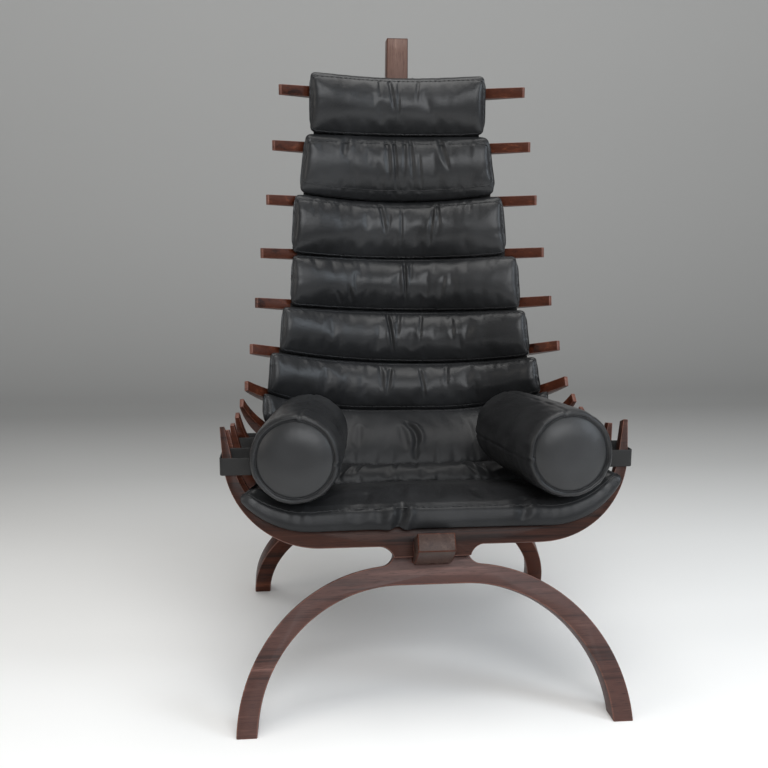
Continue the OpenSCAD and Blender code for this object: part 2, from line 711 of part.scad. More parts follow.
// A strap loop goes round a horn and has room to lift off over its tip. The loop stays level, so its walls
// clear the horn's level sections, which move to and fro in the loop as it lifts.
function edge_x(e, reach) =
    let (rise = reach - e[3], turn = acos(max(-1, 1 - rise / e[1])))
    turn < e[2] ? e[0] + e[1] * sin(turn) :
    e[0] + e[1] * sin(e[2]) + (rise - e[1] * (1 - cos(e[2]))) / tan(e[2]);
module strap_loop(side, k, drop) {
    place = rib_place(k);
    up = rib_up(k);
    tip = placed(place, 0, tip_reach(up));
    over = rib_t / 2 * sin(abs(place[2]));
    level = tip[1] - drop;
    low = level - strap_w / 2;
    high = level + strap_w / 2;
    out = tan(lift_out);
    forward = tan(lift_forward);
    half_t = rib_t / 2 / cos(place[2]);
    horn_y = function(z) place[0] - (z - place[1]) * tan(place[2]);
    reach_of = function(z) (z - place[1]) / cos(place[2]);
    rest_y = [horn_y(low), horn_y(high)];
    tip_y = tip[0];
    y_low = min(min(rest_y), tip_y + forward * (drop - strap_w / 2)) - half_t - strap_room;
    y_high = max(max(rest_y), tip_y + forward * (drop + strap_w / 2 + over)) + half_t + strap_room;
    x_high = max(
        edge_x(outer_edge(up), reach_of(high + over)),
        half_span(up) + tip_w - out * (drop - strap_w / 2 - over)
    ) + strap_room;
    nearest = [for (y = [y_low, y_high])
        let (
            axis = bolster_place((y - bolster_front[0]) / cos(bolster_fall) / cos(bolster_toe_in)),
            off = max(0, max(axis[2] - high, low - axis[2]))
        )
        axis[0] + sqrt(pow(bolster_r, 2) - pow(off, 2)) / cos(bolster_toe_in) + rest_gap
    ];
    color(leather) mirror([side < 0 ? 1 : 0, 0, 0])
        translate([0, -centre_y, low]) linear_extrude(strap_w) difference() {
            strap_outline(nearest, x_high + strap_t, y_low - strap_t, y_high + strap_t, strap_corner_r);
            strap_outline(
                [nearest[0] + strap_t, nearest[1] + strap_t], x_high, y_low, y_high,
                strap_corner_r - strap_t
            );
        }
}
strap_corner_r = 6;
module strap_outline(near, far, y_low, y_high, r) {
    hull() {
        translate([near[0] + r, y_low + r]) circle(r, $fn = 24);
        translate([near[1] + r, y_high - r]) circle(r, $fn = 24);
        translate([far - r, y_low + r]) circle(r, $fn = 24);
        translate([far - r, y_high - r]) circle(r, $fn = 24);
    }
}

spine();
rib(1);  // rib_01
rib(2);  // rib_02
rib(3);  // rib_03
rib(4);  // rib_04
rib(5);  // rib_05
rib(6);  // rib_06
rib(7);  // rib_07
rib(8);  // rib_08
rib(9);  // rib_09
rib(10);  // rib_10
rib(11);  // rib_11
rib(12);  // rib_12
leg_frame(front_rib_place, front_leg_along);  // front_leg_frame
leg_frame(rear_leg_place, 0);  // rear_leg_frame
rib_screws();
screw_plugs();
front_rib_screws();
leg_bolts();
leg_bolt_washers();
leg_bolt_inserts();
pad(0);  // head_pad
pad(1);  // back_pad_2
pad(2);  // back_pad_3
pad(3);  // back_pad_4
pad(4);  // back_pad_5
pad(5);  // back_pad_6
pad(6);  // lumbar_pad
pad(7);  // rear_seat_pad
pad(8);  // front_seat_pad
head_pad_hanger();
bolster(-1);  // left_bolster
bolster_end_panels(-1);  // left_bolster_end_panels
bolster_piping(-1);  // left_bolster_piping
strap_loop(-1, rib_count, front_strap_drop);  // left_front_strap
strap_loop(-1, rear_strap_rib, rear_strap_drop);  // left_rear_strap
bolster(1);  // right_bolster
bolster_end_panels(1);  // right_bolster_end_panels
bolster_piping(1);  // right_bolster_piping
strap_loop(1, rib_count, front_strap_drop);  // right_front_strap
strap_loop(1, rear_strap_rib, rear_strap_drop);  // right_rear_strap
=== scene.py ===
"""Looks of a high-back lounge chair with a wooden spine, curved ribs, a leather cushion and two bolsters."""

import logging
import math
from collections.abc import Iterator
from contextlib import contextmanager
from dataclasses import dataclass
from enum import Enum
from typing import Any

import bmesh
import bpy
import numpy as np
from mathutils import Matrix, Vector


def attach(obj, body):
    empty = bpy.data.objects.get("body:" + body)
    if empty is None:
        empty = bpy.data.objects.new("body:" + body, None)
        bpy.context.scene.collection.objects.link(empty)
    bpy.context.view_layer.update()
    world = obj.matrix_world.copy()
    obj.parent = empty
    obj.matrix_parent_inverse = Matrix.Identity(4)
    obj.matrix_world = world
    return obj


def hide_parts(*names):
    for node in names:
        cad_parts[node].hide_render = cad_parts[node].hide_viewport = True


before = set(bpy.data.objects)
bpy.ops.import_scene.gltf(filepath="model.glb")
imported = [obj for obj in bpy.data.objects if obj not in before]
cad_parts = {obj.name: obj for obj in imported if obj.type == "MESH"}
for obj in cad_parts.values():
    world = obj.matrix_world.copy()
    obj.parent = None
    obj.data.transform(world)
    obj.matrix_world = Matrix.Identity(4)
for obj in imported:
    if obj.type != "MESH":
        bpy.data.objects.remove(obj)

LOG = logging.getLogger("lounge_chair")
MM = 0.001
Mesh = bpy.types.Mesh
Piece = bpy.types.Object
Material = bpy.types.Material
Socket = bpy.types.NodeSocket
Triple = tuple[float, float, float]


class Side(Enum):
    """The two sides of the chair, with the sign of X there."""

    LEFT = -1
    RIGHT = 1

    @property
    def word(self) -> str:
        """Name of the side as the nodes use it."""
        return self.name.lower()


class Slot(Enum):
    """Material slots of the pieces."""

    ROSEWOOD = "rosewood"
    PLUG_WOOD = "plug_wood"
    LEATHER = "black_leather"
    PANEL = "panel_leather"
    STEEL = "steel"


class Desk:
    """Lays out the nodes of a shader or of a geometry tree."""

    def __init__(self, tree: bpy.types.NodeTree) -> None:
        """Keeps the tree that gets the nodes."""
        self.tree = tree

    def add(self, kind: str, inputs: dict[Any, Any] | None = None, **settings: Any) -> bpy.types.Node:
        """Adds one node.

        Args:
            kind: Blender's name of the node.
            inputs: values or sockets for its inputs, by name or number.
            settings: properties of the node.

        Returns:
            The node.
        """
        node = self.tree.nodes.new(kind)
        for key, value in settings.items():
            setattr(node, key, value)
        for key, value in (inputs or {}).items():
            if isinstance(value, Socket):
                self.tree.links.new(value, node.inputs[key])
            else:
                node.inputs[key].default_value = value
        return node

    def math(self, operation: str, a: Any, b: Any = 0.0, clamp: bool = False) -> Socket:
        """Adds a Math node of two inputs and returns its result."""
        return self.add("ShaderNodeMath", {0: a, 1: b}, operation=operation, use_clamp=clamp).outputs[0]

    def part(self, share: float, value: Any) -> Socket:
        """Multiplies a value by a share."""
        return self.math("MULTIPLY", value, share)

    def noise(self, place: Socket, scale: float, detail: float, rough: float, twist: float = 0.0) -> Socket:
        """Adds a Noise Texture.

        Args:
            place: coordinates that it reads.
            scale: features in a metre of those coordinates.
            detail: octaves.
            rough: weight of the finer octaves.
            twist: distortion.

        Returns:
            The factor socket.
        """
        values = {"Vector": place, "Scale": scale, "Detail": detail, "Roughness": rough, "Distortion": twist}
        return self.add("ShaderNodeTexNoise", values).outputs["Fac"]

    def mapped(self, place: Socket, *scale: float) -> Socket:
        """Stretches coordinates by a scale for each axis."""
        return self.add("ShaderNodeMapping", {"Vector": place, "Scale": scale}).outputs[0]

    def distance(self, place: Socket, *centre: float) -> Socket:
        """Distance of coordinates from a centre."""
        inputs = {0: place, 1: centre}
        return self.add("ShaderNodeVectorMath", inputs, operation="DISTANCE").outputs["Value"]

    def bump(self, height: Socket, strength: float, distance: float, normal: Socket | None = None) -> Socket:
        """Adds a Bump node.

        Args:
            height: the heights.
            strength: share of the bump that shows.
            distance: height in metres that a value of one stands for.
            normal: the normal that it starts from.

        Returns:
            The bumped normal.
        """
        inputs = {"Height": height, "Strength": strength, "Distance": distance}
        if normal is not None:
            inputs["Normal"] = normal
        return self.add("ShaderNodeBump", inputs).outputs[0]

    def ramp(self, value: Socket, *stops: tuple[float, Triple]) -> Socket:
        """Adds a Color Ramp.

        Args:
            value: the value that picks the colour.
            stops: places from 0 to 1 with their colours.

        Returns:
            The colour.
        """
        node = self.add("ShaderNodeValToRGB", {0: value})
        elements = node.color_ramp.elements
        while len(elements) < len(stops):
            elements.new(0.5)
        for element, (place, colour) in zip(elements, stops):
            element.position = place
            element.color = (*colour, 1.0)
        return node.outputs["Color"]

    def mix(self, factor: Any, a: Socket, b: Socket | Triple, blend: str = "MIX") -> Socket:
        """Adds a colour Mix node.

        Args:
            factor: share of the second colour.
            a: the first colour.
            b: the second colour.
            blend: the way of mixing.

        Returns:
            The mixed colour.
        """
        inputs = {0: factor, 6: a, 7: b if isinstance(b, Socket) else (*b, 1.0)}
        return self.add("ShaderNodeMix", inputs, data_type="RGBA", blend_type=blend).outputs[2]


def new_material(name: str) -> tuple[Material, Desk]:
    """Starts a node material.

    Args:
        name: name of the material.

    Returns:
        The material and the desk for its nodes.
    """
    material = bpy.data.materials.new(name)
    material.use_nodes = True
    material.node_tree.nodes.clear()
    return material, Desk(material.node_tree)


def close_material(desk: Desk, shader: dict[Any, Any]) -> None:
    """Adds the Principled shader and the output.

    Args:
        desk: desk of the material.
        shader: values and sockets of the Principled shader.
    """
    principled = desk.add("ShaderNodeBsdfPrincipled", shader)
    desk.add("ShaderNodeOutputMaterial", {"Surface": principled.outputs[0]})


@dataclass(frozen=True)
class WoodFinish:
    """Oiled dark rosewood, whose grain runs along the first number of the attribute grain_place.

    The last number is the strength of the painted shade at the nose of the spine and of the painted light
    that lightens the wood towards its top.
    """

    name: str
    dark: Triple
    middle: Triple
    light: Triple
    roughness: float
    gloss: float
    bleaching: float = 0.0

    def bleached(self, desk: Desk, place: Socket, colour: Socket) -> Socket:
        """Paints shade on the wood at the lower end of the spine and paints light on it towards the top.

        Args:
            desk: desk of the material.
            place: places in the board.
            colour: colour of the wood.

        Returns:
            The colour with the painted shade and the painted light.
        """
        # painted shade darkens the nose of the spine and painted light lightens the wood towards its top
        shade_end, painted_light_len, lightening = 0.1, 1.2, 0.85
        along = desk.add("ShaderNodeSeparateXYZ", {0: place}).outputs[0]
        share = desk.math("DIVIDE", desk.math("SUBTRACT", along, shade_end), painted_light_len, clamp=True)
        low, high = 1 - self.bleaching, 1 + self.bleaching * lightening
        tint = desk.ramp(share, (0.0, (low, low, low)), (1.0, (high, high * 0.98, high * 0.95)))
        return desk.mix(1.0, colour, tint, "MULTIPLY")

    def material(self) -> Material:
        """Builds the wood: broad bands, fine streaks and open pores along the grain.

        Returns:
            The material.
        """
        material, desk = new_material(self.name)
        place = desk.add("ShaderNodeAttribute", attribute_name="grain_place").outputs["Vector"]
        wander = desk.noise(desk.mapped(place, 2.2, 16.0, 16.0), 1.0, 2.0, 0.5)
        band = desk.noise(desk.mapped(place, 2.6, 62.0, 62.0), 1.0, 3.0, 0.55, 0.8)
        streak = desk.noise(desk.mapped(place, 9.0, 420.0, 420.0), 1.0, 4.0, 0.62, 0.25)
        hole = desk.noise(desk.mapped(place, 55.0, 1500.0, 1500.0), 1.0, 2.0, 0.5)
        pore = desk.ramp(hole, (0.30, (0, 0, 0)), (0.43, (1, 1, 1)))
        figure = desk.math("ADD", desk.part(0.62, band), desk.part(0.38, streak))
        figure = desk.math("ADD", figure, desk.part(0.3, desk.math("SUBTRACT", wander, 0.5)))
        colour = desk.ramp(
            figure, (0.34, self.dark), (0.47, self.middle), (0.56, self.middle), (0.70, self.light)
        )
        colour = desk.mix(desk.math("SUBTRACT", 1.0, pore), colour, self.dark)
        # painted shade at the nose of the spine and painted light towards its top
        if self.bleaching > 0:
            colour = self.bleached(desk, place, colour)
        roughness_spread = 0.22
        rough = desk.math("ADD", desk.part(roughness_spread, streak), self.roughness - roughness_spread / 2)
        height = desk.math("ADD", desk.part(0.35, streak), desk.part(0.65, pore))
        close_material(desk, {
            "Base Color": colour, "Roughness": rough, "Normal": desk.bump(height, 0.22, 0.5 * MM),
            "Specular IOR Level": self.gloss,
        })
        return material


@dataclass(frozen=True)
class LeatherFinish:
    """Semi-gloss leather with a fine pebble, faint creases and rubbed places.

    The seat wear is the share of the gloss that is lost where the seat and its front edge are rubbed.
    """

    name: str
    colour: Triple
    roughness: float
    pebble: float
    creasing: float
    seat_wear: float = 0.0

    def worn(self, desk: Desk, place: Socket) -> Socket:
        """Wear at a place, which fades out round the middle of the seat and round its front edge.

        Args:
            desk: desk of the material.
            place: places on the leather.

        Returns:
            The wear, from 0 to the seat wear.
        """
        black, white = (0, 0, 0), (1, 1, 1)
        seat = desk.ramp(desk.distance(place, 0.0, 0.05, 0.36), (0.10, white), (0.22, black))
        along_edge = desk.mapped(place, 0.12, 1.0, 1.0)
        edge = desk.ramp(desk.distance(along_edge, 0.0, -0.30, 0.315), (0.03, white), (0.06, black))
        return desk.part(self.seat_wear, desk.math("MAXIMUM", seat, edge))

    def material(self) -> Material:
        """Builds the leather on the piece's own coordinates, duller where the seat is worn.

        Returns:
            The material.
        """
        material, desk = new_material(self.name)
        place = desk.add("ShaderNodeTexCoord").outputs["Object"]
        warp = desk.add("ShaderNodeTexNoise", {"Vector": place, "Scale": 95.0, "Detail": 2.0})
        bend = 6 * MM
        bent = desk.add(
            "ShaderNodeVectorMath", {0: warp.outputs["Color"], 1: (bend, bend, bend), 2: place},
            operation="MULTIPLY_ADD",
        ).outputs[0]
        cells = desk.add(
            "ShaderNodeTexVoronoi", {"Vector": bent, "Scale": 620.0, "Randomness": 0.9},
            feature="DISTANCE_TO_EDGE",
        ).outputs["Distance"]
        pebble = desk.ramp(cells, (0.0, (0, 0, 0)), (0.22, (1, 1, 1)))
        fine = desk.noise(place, 1900.0, 2.0, 0.5)
        soft = desk.noise(place, 26.0, 3.0, 0.5, 0.6)
        lines = desk.noise(place, 150.0, 3.0, 0.6, 1.6)
        rubbed = desk.noise(place, 9.0, 2.0, 0.5)
        grain = desk.math("ADD", desk.part(0.7, pebble), desk.part(0.3, fine))
        normal = desk.bump(grain, self.pebble, 0.22 * MM)
        normal = desk.bump(lines, self.creasing, 0.6 * MM, normal)
        normal = desk.bump(soft, self.creasing, 1.8 * MM, normal)
        light = tuple(c * 1.5 for c in self.colour)
        dark = tuple(c * 0.72 for c in self.colour)
        colour = desk.ramp(rubbed, (0.3, dark), (0.5, self.colour), (0.72, light))
        colour = desk.mix(desk.part(0.45, desk.math("SUBTRACT", 1.0, pebble)), colour, dark)
        spread = desk.part(0.16, desk.math("SUBTRACT", rubbed, 0.5))
        rough = desk.math("ADD", spread, desk.math("ADD", desk.part(-0.07, grain), self.roughness))
        worn = self.worn(desk, place)
        rough = desk.math("ADD", rough, desk.part(0.12, worn))
        gloss = desk.part(0.32, desk.math("SUBTRACT", 1.0, worn))
        close_material(desk, {
            "Base Color": colour, "Roughness": rough, "Normal": normal, "Specular IOR Level": gloss,
        })
        return material


@dataclass(frozen=True)
class SteelFinish:
    """Zinc-plated steel of the screws and bolts."""

    name: str = "steel"

    def material(self) -> Material:
        """Builds the steel with fine turning marks and a little tarnish.

        Returns:
            The material.
        """
        material, desk = new_material(self.name)
        place = desk.add("ShaderNodeTexCoord").outputs["Object"]
        marks = desk.noise(place, 700.0, 3.0, 0.6)
        dull = desk.noise(place, 60.0, 3.0, 0.6)
        close_material(desk, {
            "Base Color": desk.ramp(dull, (0.35, (0.30, 0.29, 0.28)), (0.6, (0.56, 0.56, 0.57))),
            "Roughness": desk.math("ADD", desk.part(0.25, dull), 0.2),
            "Normal": desk.bump(marks, 0.2, 0.1 * MM), "Metallic": 1.0,
        })
        return material


FINISHES: dict[str, WoodFinish | LeatherFinish | SteelFinish] = {
    "wood": WoodFinish(
        "rosewood", (0.0135, 0.0038, 0.0022), (0.060, 0.0160, 0.0075), (0.150, 0.046, 0.022), 0.38, 0.15
    ),
    # lighter copy of the rosewood with painted light, for the spine, whose top catches the light
    "spine": WoodFinish(
        "spine_rosewood", (0.048, 0.025, 0.020), (0.112, 0.066, 0.053), (0.225, 0.146, 0.117), 0.38, 0.22,
        bleaching=0.52,
    ),
    # lighter, greyer copy of the rosewood: painted sheen on the front leg
    "leg": WoodFinish(
        "leg_rosewood", (0.027, 0.0105, 0.0082), (0.074, 0.030, 0.023), (0.160, 0.077, 0.062), 0.46, 0.40
    ),
    # lighter copy of the rosewood: painted highlight on the eased edges and the horns' ends
    "edge": WoodFinish(
        "rosewood_edge", (0.050, 0.020, 0.014), (0.150, 0.062, 0.044), (0.28, 0.140, 0.110), 0.40, 0.35
    ),
    # darker copy of the rosewood: painted shade on the front rib under the overhanging front pad
    "front": WoodFinish(
        "front_rosewood", (0.011, 0.0038, 0.0026), (0.039, 0.0135, 0.0082), (0.093, 0.037, 0.024), 0.42, 0.20
    ),
    "plug": WoodFinish(
        "plug_wood", (0.010, 0.004, 0.003), (0.032, 0.011, 0.008), (0.07, 0.024, 0.017), 0.4, 0.15
    ),
    "leather": LeatherFinish("black_leather", (0.0210, 0.0215, 0.0226), 0.335, 0.24, 0.22, 0.55),
    "panel": LeatherFinish("panel_leather", (0.0300, 0.0306, 0.0318), 0.38, 0.22, 0.08),
    "strap": LeatherFinish("strap_leather", (0.0170, 0.0166, 0.0164), 0.56, 0.34, 0.22),
    "steel": SteelFinish(),
}


@dataclass(frozen=True)
class Finishes:
    """The materials of the chair, made once."""

    wood: Material
    spine: Material
    leg: Material
    edge: Material
    front: Material
    plug: Material
    leather: Material
    panel: Material
    strap: Material
    steel: Material

    @classmethod
    def made(cls) -> "Finishes":
        """Builds the materials."""
        return cls(**{key: finish.material() for key, finish in FINISHES.items()})


@contextmanager
def opened(mesh: Mesh) -> Iterator[bmesh.types.BMesh]:
    """Opens a mesh for edits and writes them back.

    Args:
        mesh: the mesh.

    Yields:
        Its vertices, edges and faces.
    """
    shell = bmesh.new()
    shell.from_mesh(mesh)
    yield shell
    shell.to_mesh(mesh)
    shell.free()


def mesh_of(name: str, points: np.ndarray, faces: list[tuple[int, ...]], material: Material) -> Mesh:
    """Makes a smooth-shaded mesh.

    Args:
        name: name of the mesh.
        points: its vertices, one row each.
        faces: its faces, as vertex numbers.
        material: its material.

    Returns:
        The mesh, with its faces pointing outwards.
    """
    mesh = bpy.data.meshes.new(name)
    mesh.from_pydata(np.asarray(points, float).tolist(), [], faces)
    mesh.materials.append(material)
    with opened(mesh) as shell:
        bmesh.ops.recalc_face_normals(shell, faces=shell.faces[:])
    mesh.shade_smooth()
    return mesh


def show(name: str, mesh: Mesh) -> Piece:
    """Puts a mesh into the scene.

    Args:
        name: name of the piece.
        mesh: its mesh.

    Returns:
        The piece, at the origin.
    """
    piece = bpy.data.objects.new(name, mesh)
    bpy.context.scene.collection.objects.link(piece)
    return piece


def vectors(values: Any, key: str, count: int) -> np.ndarray:
    """Reads three numbers for each item of a mesh.

    Args:
        values: vertices or vertex normals.
        key: name of the property.
        count: number of items.

    Returns:
        The numbers, one row for each item.
    """
    flat = np.empty(count * 3)
    values.foreach_get(key, flat)
    return flat.reshape(-1, 3)


def coordinates(mesh: Mesh) -> np.ndarray:
    """Vertices of a mesh, one row each."""
    return vectors(mesh.vertices, "co", len(mesh.vertices))


def normals_of(mesh: Mesh) -> np.ndarray:
    """Vertex normals of a mesh, one row each."""
    return vectors(mesh.vertex_normals, "vector", len(mesh.vertices))


def move_to(mesh: Mesh, points: np.ndarray) -> None:
    """Gives a mesh's vertices new places."""
    mesh.vertices.foreach_set("co", np.asarray(points, np.float32).ravel())
    mesh.update()


def write_vectors(mesh: Mesh, key: str, values: np.ndarray) -> None:
    """Keeps a vector for each vertex as an attribute."""
    attribute = mesh.attributes.new(key, "FLOAT_VECTOR", "POINT")
    attribute.data.foreach_set("vector", np.asarray(values, np.float32).ravel())


def baked(piece: Piece) -> Piece:
    """Turns a piece with modifiers into a plain mesh.

    Args:
        piece: a piece whose modifiers are live.

    Returns:
        The same piece, without modifiers.
    """
    graph = bpy.context.evaluated_depsgraph_get()
    graph.update()
    mesh = bpy.data.meshes.new_from_object(piece.evaluated_get(graph), depsgraph=graph)
    mesh.name = piece.name
    piece.modifiers.clear()
    piece.data = mesh
    return piece


def merged_copy(node: str, name: str, *materials: Material) -> Mesh:
    """Copies a node's mesh, with its faces joined up and its own materials.

    Args:
        node: name of the node.
        name: name of the copy.
        materials: materials of the copy; its faces get the first one.

    Returns:
        The copy.
    """
    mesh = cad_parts[node].data.copy()
    mesh.name = name
    with opened(mesh) as shell:
        bmesh.ops.remove_doubles(shell, verts=shell.verts[:], dist=1e-6)
        bmesh.ops.dissolve_limit(
            shell, angle_limit=math.radians(0.3), verts=shell.verts[:], edges=shell.edges[:]
        )
    mesh.materials.clear()
    for material in materials:
        mesh.materials.append(material)
    mesh.polygons.foreach_set("material_index", np.zeros(len(mesh.polygons), np.int32))
    return mesh


def round_edges(
    piece: Piece, width: float, segments: int, angle: float, sharp: float, material: int = -1
) -> None:
    """Rounds the edges of a piece and makes the result a plain mesh.

    Args:
        piece: the piece.
        width: width of the rounding in metres.
        segments: number of facets over the rounding.
        angle: angle in degrees above which an edge is rounded.
        sharp: angle in degrees above which an edge of the result stays sharp.
        material: number of the rounding's material, or -1 for that of the faces beside it.
    """
    bevel = piece.modifiers.new("edges", "BEVEL")
    bevel.width = width
    bevel.segments = segments
    bevel.limit_method = "ANGLE"
    bevel.angle_limit = math.radians(angle)
    bevel.use_clamp_overlap = False
    bevel.material = material
    baked(piece)
    piece.data.shade_smooth()
    piece.data.set_sharp_from_angle(angle=math.radians(sharp))


def settle(piece: Piece, body: str, slot: Slot, *nodes: str) -> Piece:
    """Says what a finished piece belongs to.

    Args:
        piece: the piece.
        body: the body that it rides on.
        slot: its material slot, which is not used.
        nodes: the nodes that it stands for.

    Returns:
        The piece.
    """
    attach(piece, body)
    if nodes:
        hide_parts(*nodes)
    LOG.info("%s: %d faces, rides on %s", piece.name, len(piece.data.polygons), body)
    return piece


@dataclass(frozen=True)
class ChairLines:
    """The lines that the spine, the ribs and the cushion follow, in millimetres and degrees."""

    front_rib_z: float = 286.0
    front_fall: float = 21.0
    nose_r: float = 300.0
    arcs: tuple[tuple[float, float], ...] = ((594.0, 27.0), (287.0, 63.5), (985.0, 14.5), (2683.0, 90.0))
    centre_y: float = 264.196
    pitch: float = 112.0
    ribs: int = 12
    front_span: float = 337.0
    top_span: float = 242.0
    span_power: float = 1.8
    seat_reach: float = 190.0
    top_reach: float = 128.0
    reach_share: float = 0.92
    reach_power: float = 2.1
    front_slope: float = 77.0
    top_slope: float = 26.0
    slope_half_share: float = 0.49
    slope_power: float = 7.0
    flat_share: float = 0.55
    flat_power: float = 2.1
    front_flat: float = 192.0
    front_rise: float = 22.0
    top_rise: float = 45.0
    head_half_w: float = 187.0
    seat_half_w: float = 330.0
    wide_share: float = 0.41
    head_share: float = 0.935
    flare: float = 0.4
    recess_depth: float = 60.0
    recess_s: float = 336.0
    recess_len: float = 130.0
    rib_share: float = 0.3
    before_front: float = 80.0
    past_top: float = 130.0
    search_step: float = 2.0

    @property
    def last(self) -> float:
        """Distance along the spine from the front rib to the top rib."""
        return (self.ribs - 1) * self.pitch

    def spine_at(self, s: np.ndarray) -> tuple[np.ndarray, np.ndarray, np.ndarray]:
        """Places of the spine's face.

        Args:
            s: distances along the spine behind the front rib.

        Returns:
            Y and Z of the places and their headings in radians.
        """
        s = np.asarray(s, float)
        start = (0.0, self.front_rib_z, math.radians(-self.front_fall))

        def along(place: Triple, r: float, turn: Any) -> tuple[Any, Any, Any]:
            """Y, Z and heading after a turn on an arc of radius r that starts at a place."""
            heading = place[2] + turn
            return (
                place[0] + r * (np.sin(heading) - math.sin(place[2])),
                place[1] - r * (np.cos(heading) - math.cos(place[2])),
                heading,
            )

        y, z, heading = along(start, self.nose_r, s / self.nose_r)
        place, before = start, 0.0
        for r, turn in self.arcs:
            ay, az, ah = along(place, r, (s - before) / r)
            on = s >= before
            y, z, heading = np.where(on, ay, y), np.where(on, az, z), np.where(on, ah, heading)
            place = along(place, r, math.radians(turn))
            before += r * math.radians(turn)
        return y, z, heading

    def up_of(self, s: np.ndarray) -> np.ndarray:
        """Share of the way from the front rib to the top rib, from 0 to 1."""
        return np.clip(s / self.last, 0.0, 1.0)

    def inner_edge(self, up: np.ndarray) -> tuple[np.ndarray, ...]:
        """Numbers of a rib's inner edge.

        Args:
            up: shares of the way to the top rib.

        Returns:
            Flat half, arc radius, slope in radians, height of the flat and arm length.
        """
        turn = np.minimum(1.0, up / self.reach_share) ** self.reach_power
        reach = self.top_reach + (self.seat_reach - self.top_reach) * (1 + np.cos(np.pi * turn)) / 2
        kept = 1 / (1 + (up / self.slope_half_share) ** self.slope_power)
        slope = np.radians(self.top_slope + (self.front_slope - self.top_slope) * kept)
        low = self.front_rise + (self.top_rise - self.front_rise) * up
        flat = self.front_flat * np.maximum(0.0, 1 - (up / self.flat_share) ** self.flat_power)
        span = self.front_span - (self.front_span - self.top_span) * up ** self.span_power
        r = (span - flat - (reach - low) / np.tan(slope)) / np.tan(slope / 2)
        return flat, r, slope, low, (reach - low - r * (1 - np.cos(slope))) / np.sin(slope)

    def point(self, s: np.ndarray, across: np.ndarray, h: np.ndarray, up: np.ndarray) -> np.ndarray:
        """Points over the ribs' inner edges.

        Args:
            s: distances along the spine.
            across: signed distances from the middle, measured along the rib.
            h: heights over the edge.
            up: shares that choose the rib's edge.

        Returns:
            Points in metres, one row each, in the frame of the part.
        """
        flat, r, slope, low, _ = self.inner_edge(up)
        length = np.abs(across)
        turn = np.clip((length - flat) / r, 0.0, slope)
        arm = np.maximum(0.0, length - flat - r * slope)
        x = np.minimum(length, flat) + r * np.sin(turn) + arm * np.cos(turn) - h * np.sin(turn)
        reach = low + r * (1 - np.cos(turn)) + arm * np.sin(turn) + h * np.cos(turn)
        y, z, heading = self.spine_at(s)
        points = (
            np.where(across < 0, -x, x),
            y - reach * np.sin(heading) - self.centre_y,
            z + reach * np.cos(heading),
        )
        return np.stack(points, axis=-1) * MM

    def half_width(self, s: np.ndarray, middle: float) -> np.ndarray:
        """Half of a pad's width, measured along the rib.

        Args:
            s: distances along the spine.
            middle: distance to the middle of the pad.

        Returns:
            Half widths.
        """
        up = self.up_of(middle + self.flare * (s - middle))
        share = np.clip((self.head_share - up) / (self.head_share - self.wide_share), 0.0, 1.0)
        near = np.minimum(1.0, ((s - self.recess_s) / self.recess_len) ** 2)
        recess = self.recess_depth * (1 + np.cos(np.pi * near)) / 2
        return self.head_half_w + (self.seat_half_w - self.head_half_w) * share - recess

    def up_under(self, s: np.ndarray) -> np.ndarray:
        """Share that chooses the edge under a pad: each rib's own edge over the rib's thickness.

        Args:
            s: distances along the spine.

        Returns:
            Shares from 0 at the front rib to 1 at the top rib.
        """
        n = np.round(s / self.pitch)
        d = s / self.pitch - n
        over = np.maximum(0.0, np.abs(d) - self.rib_share)
        step = np.sign(d) * over * 0.5 / (0.5 - self.rib_share)
        return np.clip((n + step) / (self.ribs - 1), 0.0, 1.0)

    def along_spine(self, points: np.ndarray) -> tuple[np.ndarray, np.ndarray]:
        """Finds the places of points near the spine.

        Args:
            points: points in metres, one row each.

        Returns:
            Distances along the spine and reaches over its face, in metres.
        """
        s = np.arange(-self.before_front, self.last + self.past_top, self.search_step)
        y, z, heading = self.spine_at(s)
        py, pz = points[:, 1] / MM + self.centre_y, points[:, 2] / MM
        gap = (py[:, None] - y) ** 2 + (pz[:, None] - z) ** 2
        near = np.argmin(gap, axis=1)
        dy, dz, turn = py - y[near], pz - z[near], heading[near]
        along = s[near] + dy * np.cos(turn) + dz * np.sin(turn)
        return along * MM, (-dy * np.sin(turn) + dz * np.cos(turn)) * MM


class Ripple:
    """A smooth wandering line or surface, made of a few waves with seeded phases."""

    waves = 9
    slowest, fastest = 0.55, 1.9
    widest_turn = 0.6
    least_share = 0.5

    def __init__(self, seed: int) -> None:
        """Draws the waves.

        Args:
            seed: seed of the draws.
        """
        chance = np.random.default_rng(seed)
        self.rate = 2 * np.pi * chance.uniform(self.slowest, self.fastest, self.waves)
        self.phase = chance.uniform(0, 2 * np.pi, self.waves)
        self.turn = chance.uniform(-self.widest_turn, self.widest_turn, self.waves)
        self.share = chance.uniform(self.least_share, 1.0, self.waves)
        self.share /= np.sqrt((self.share ** 2).sum() / 2)

    def at(self, u: np.ndarray, v: np.ndarray | float = 0.0) -> np.ndarray:
        """Height of the ripple, which is about 1 high.

        Args:
            u: places, counted in waves.
            v: places square to u, counted in waves.

        Returns:
            The heights.
        """
        u = np.asarray(u, float)[..., None]
        v = np.asarray(v, float)[..., None]
        waves = np.sin(self.rate * (u * np.cos(self.turn) + v * np.sin(self.turn)) + self.phase)
        return (waves * self.share).sum(axis=-1)


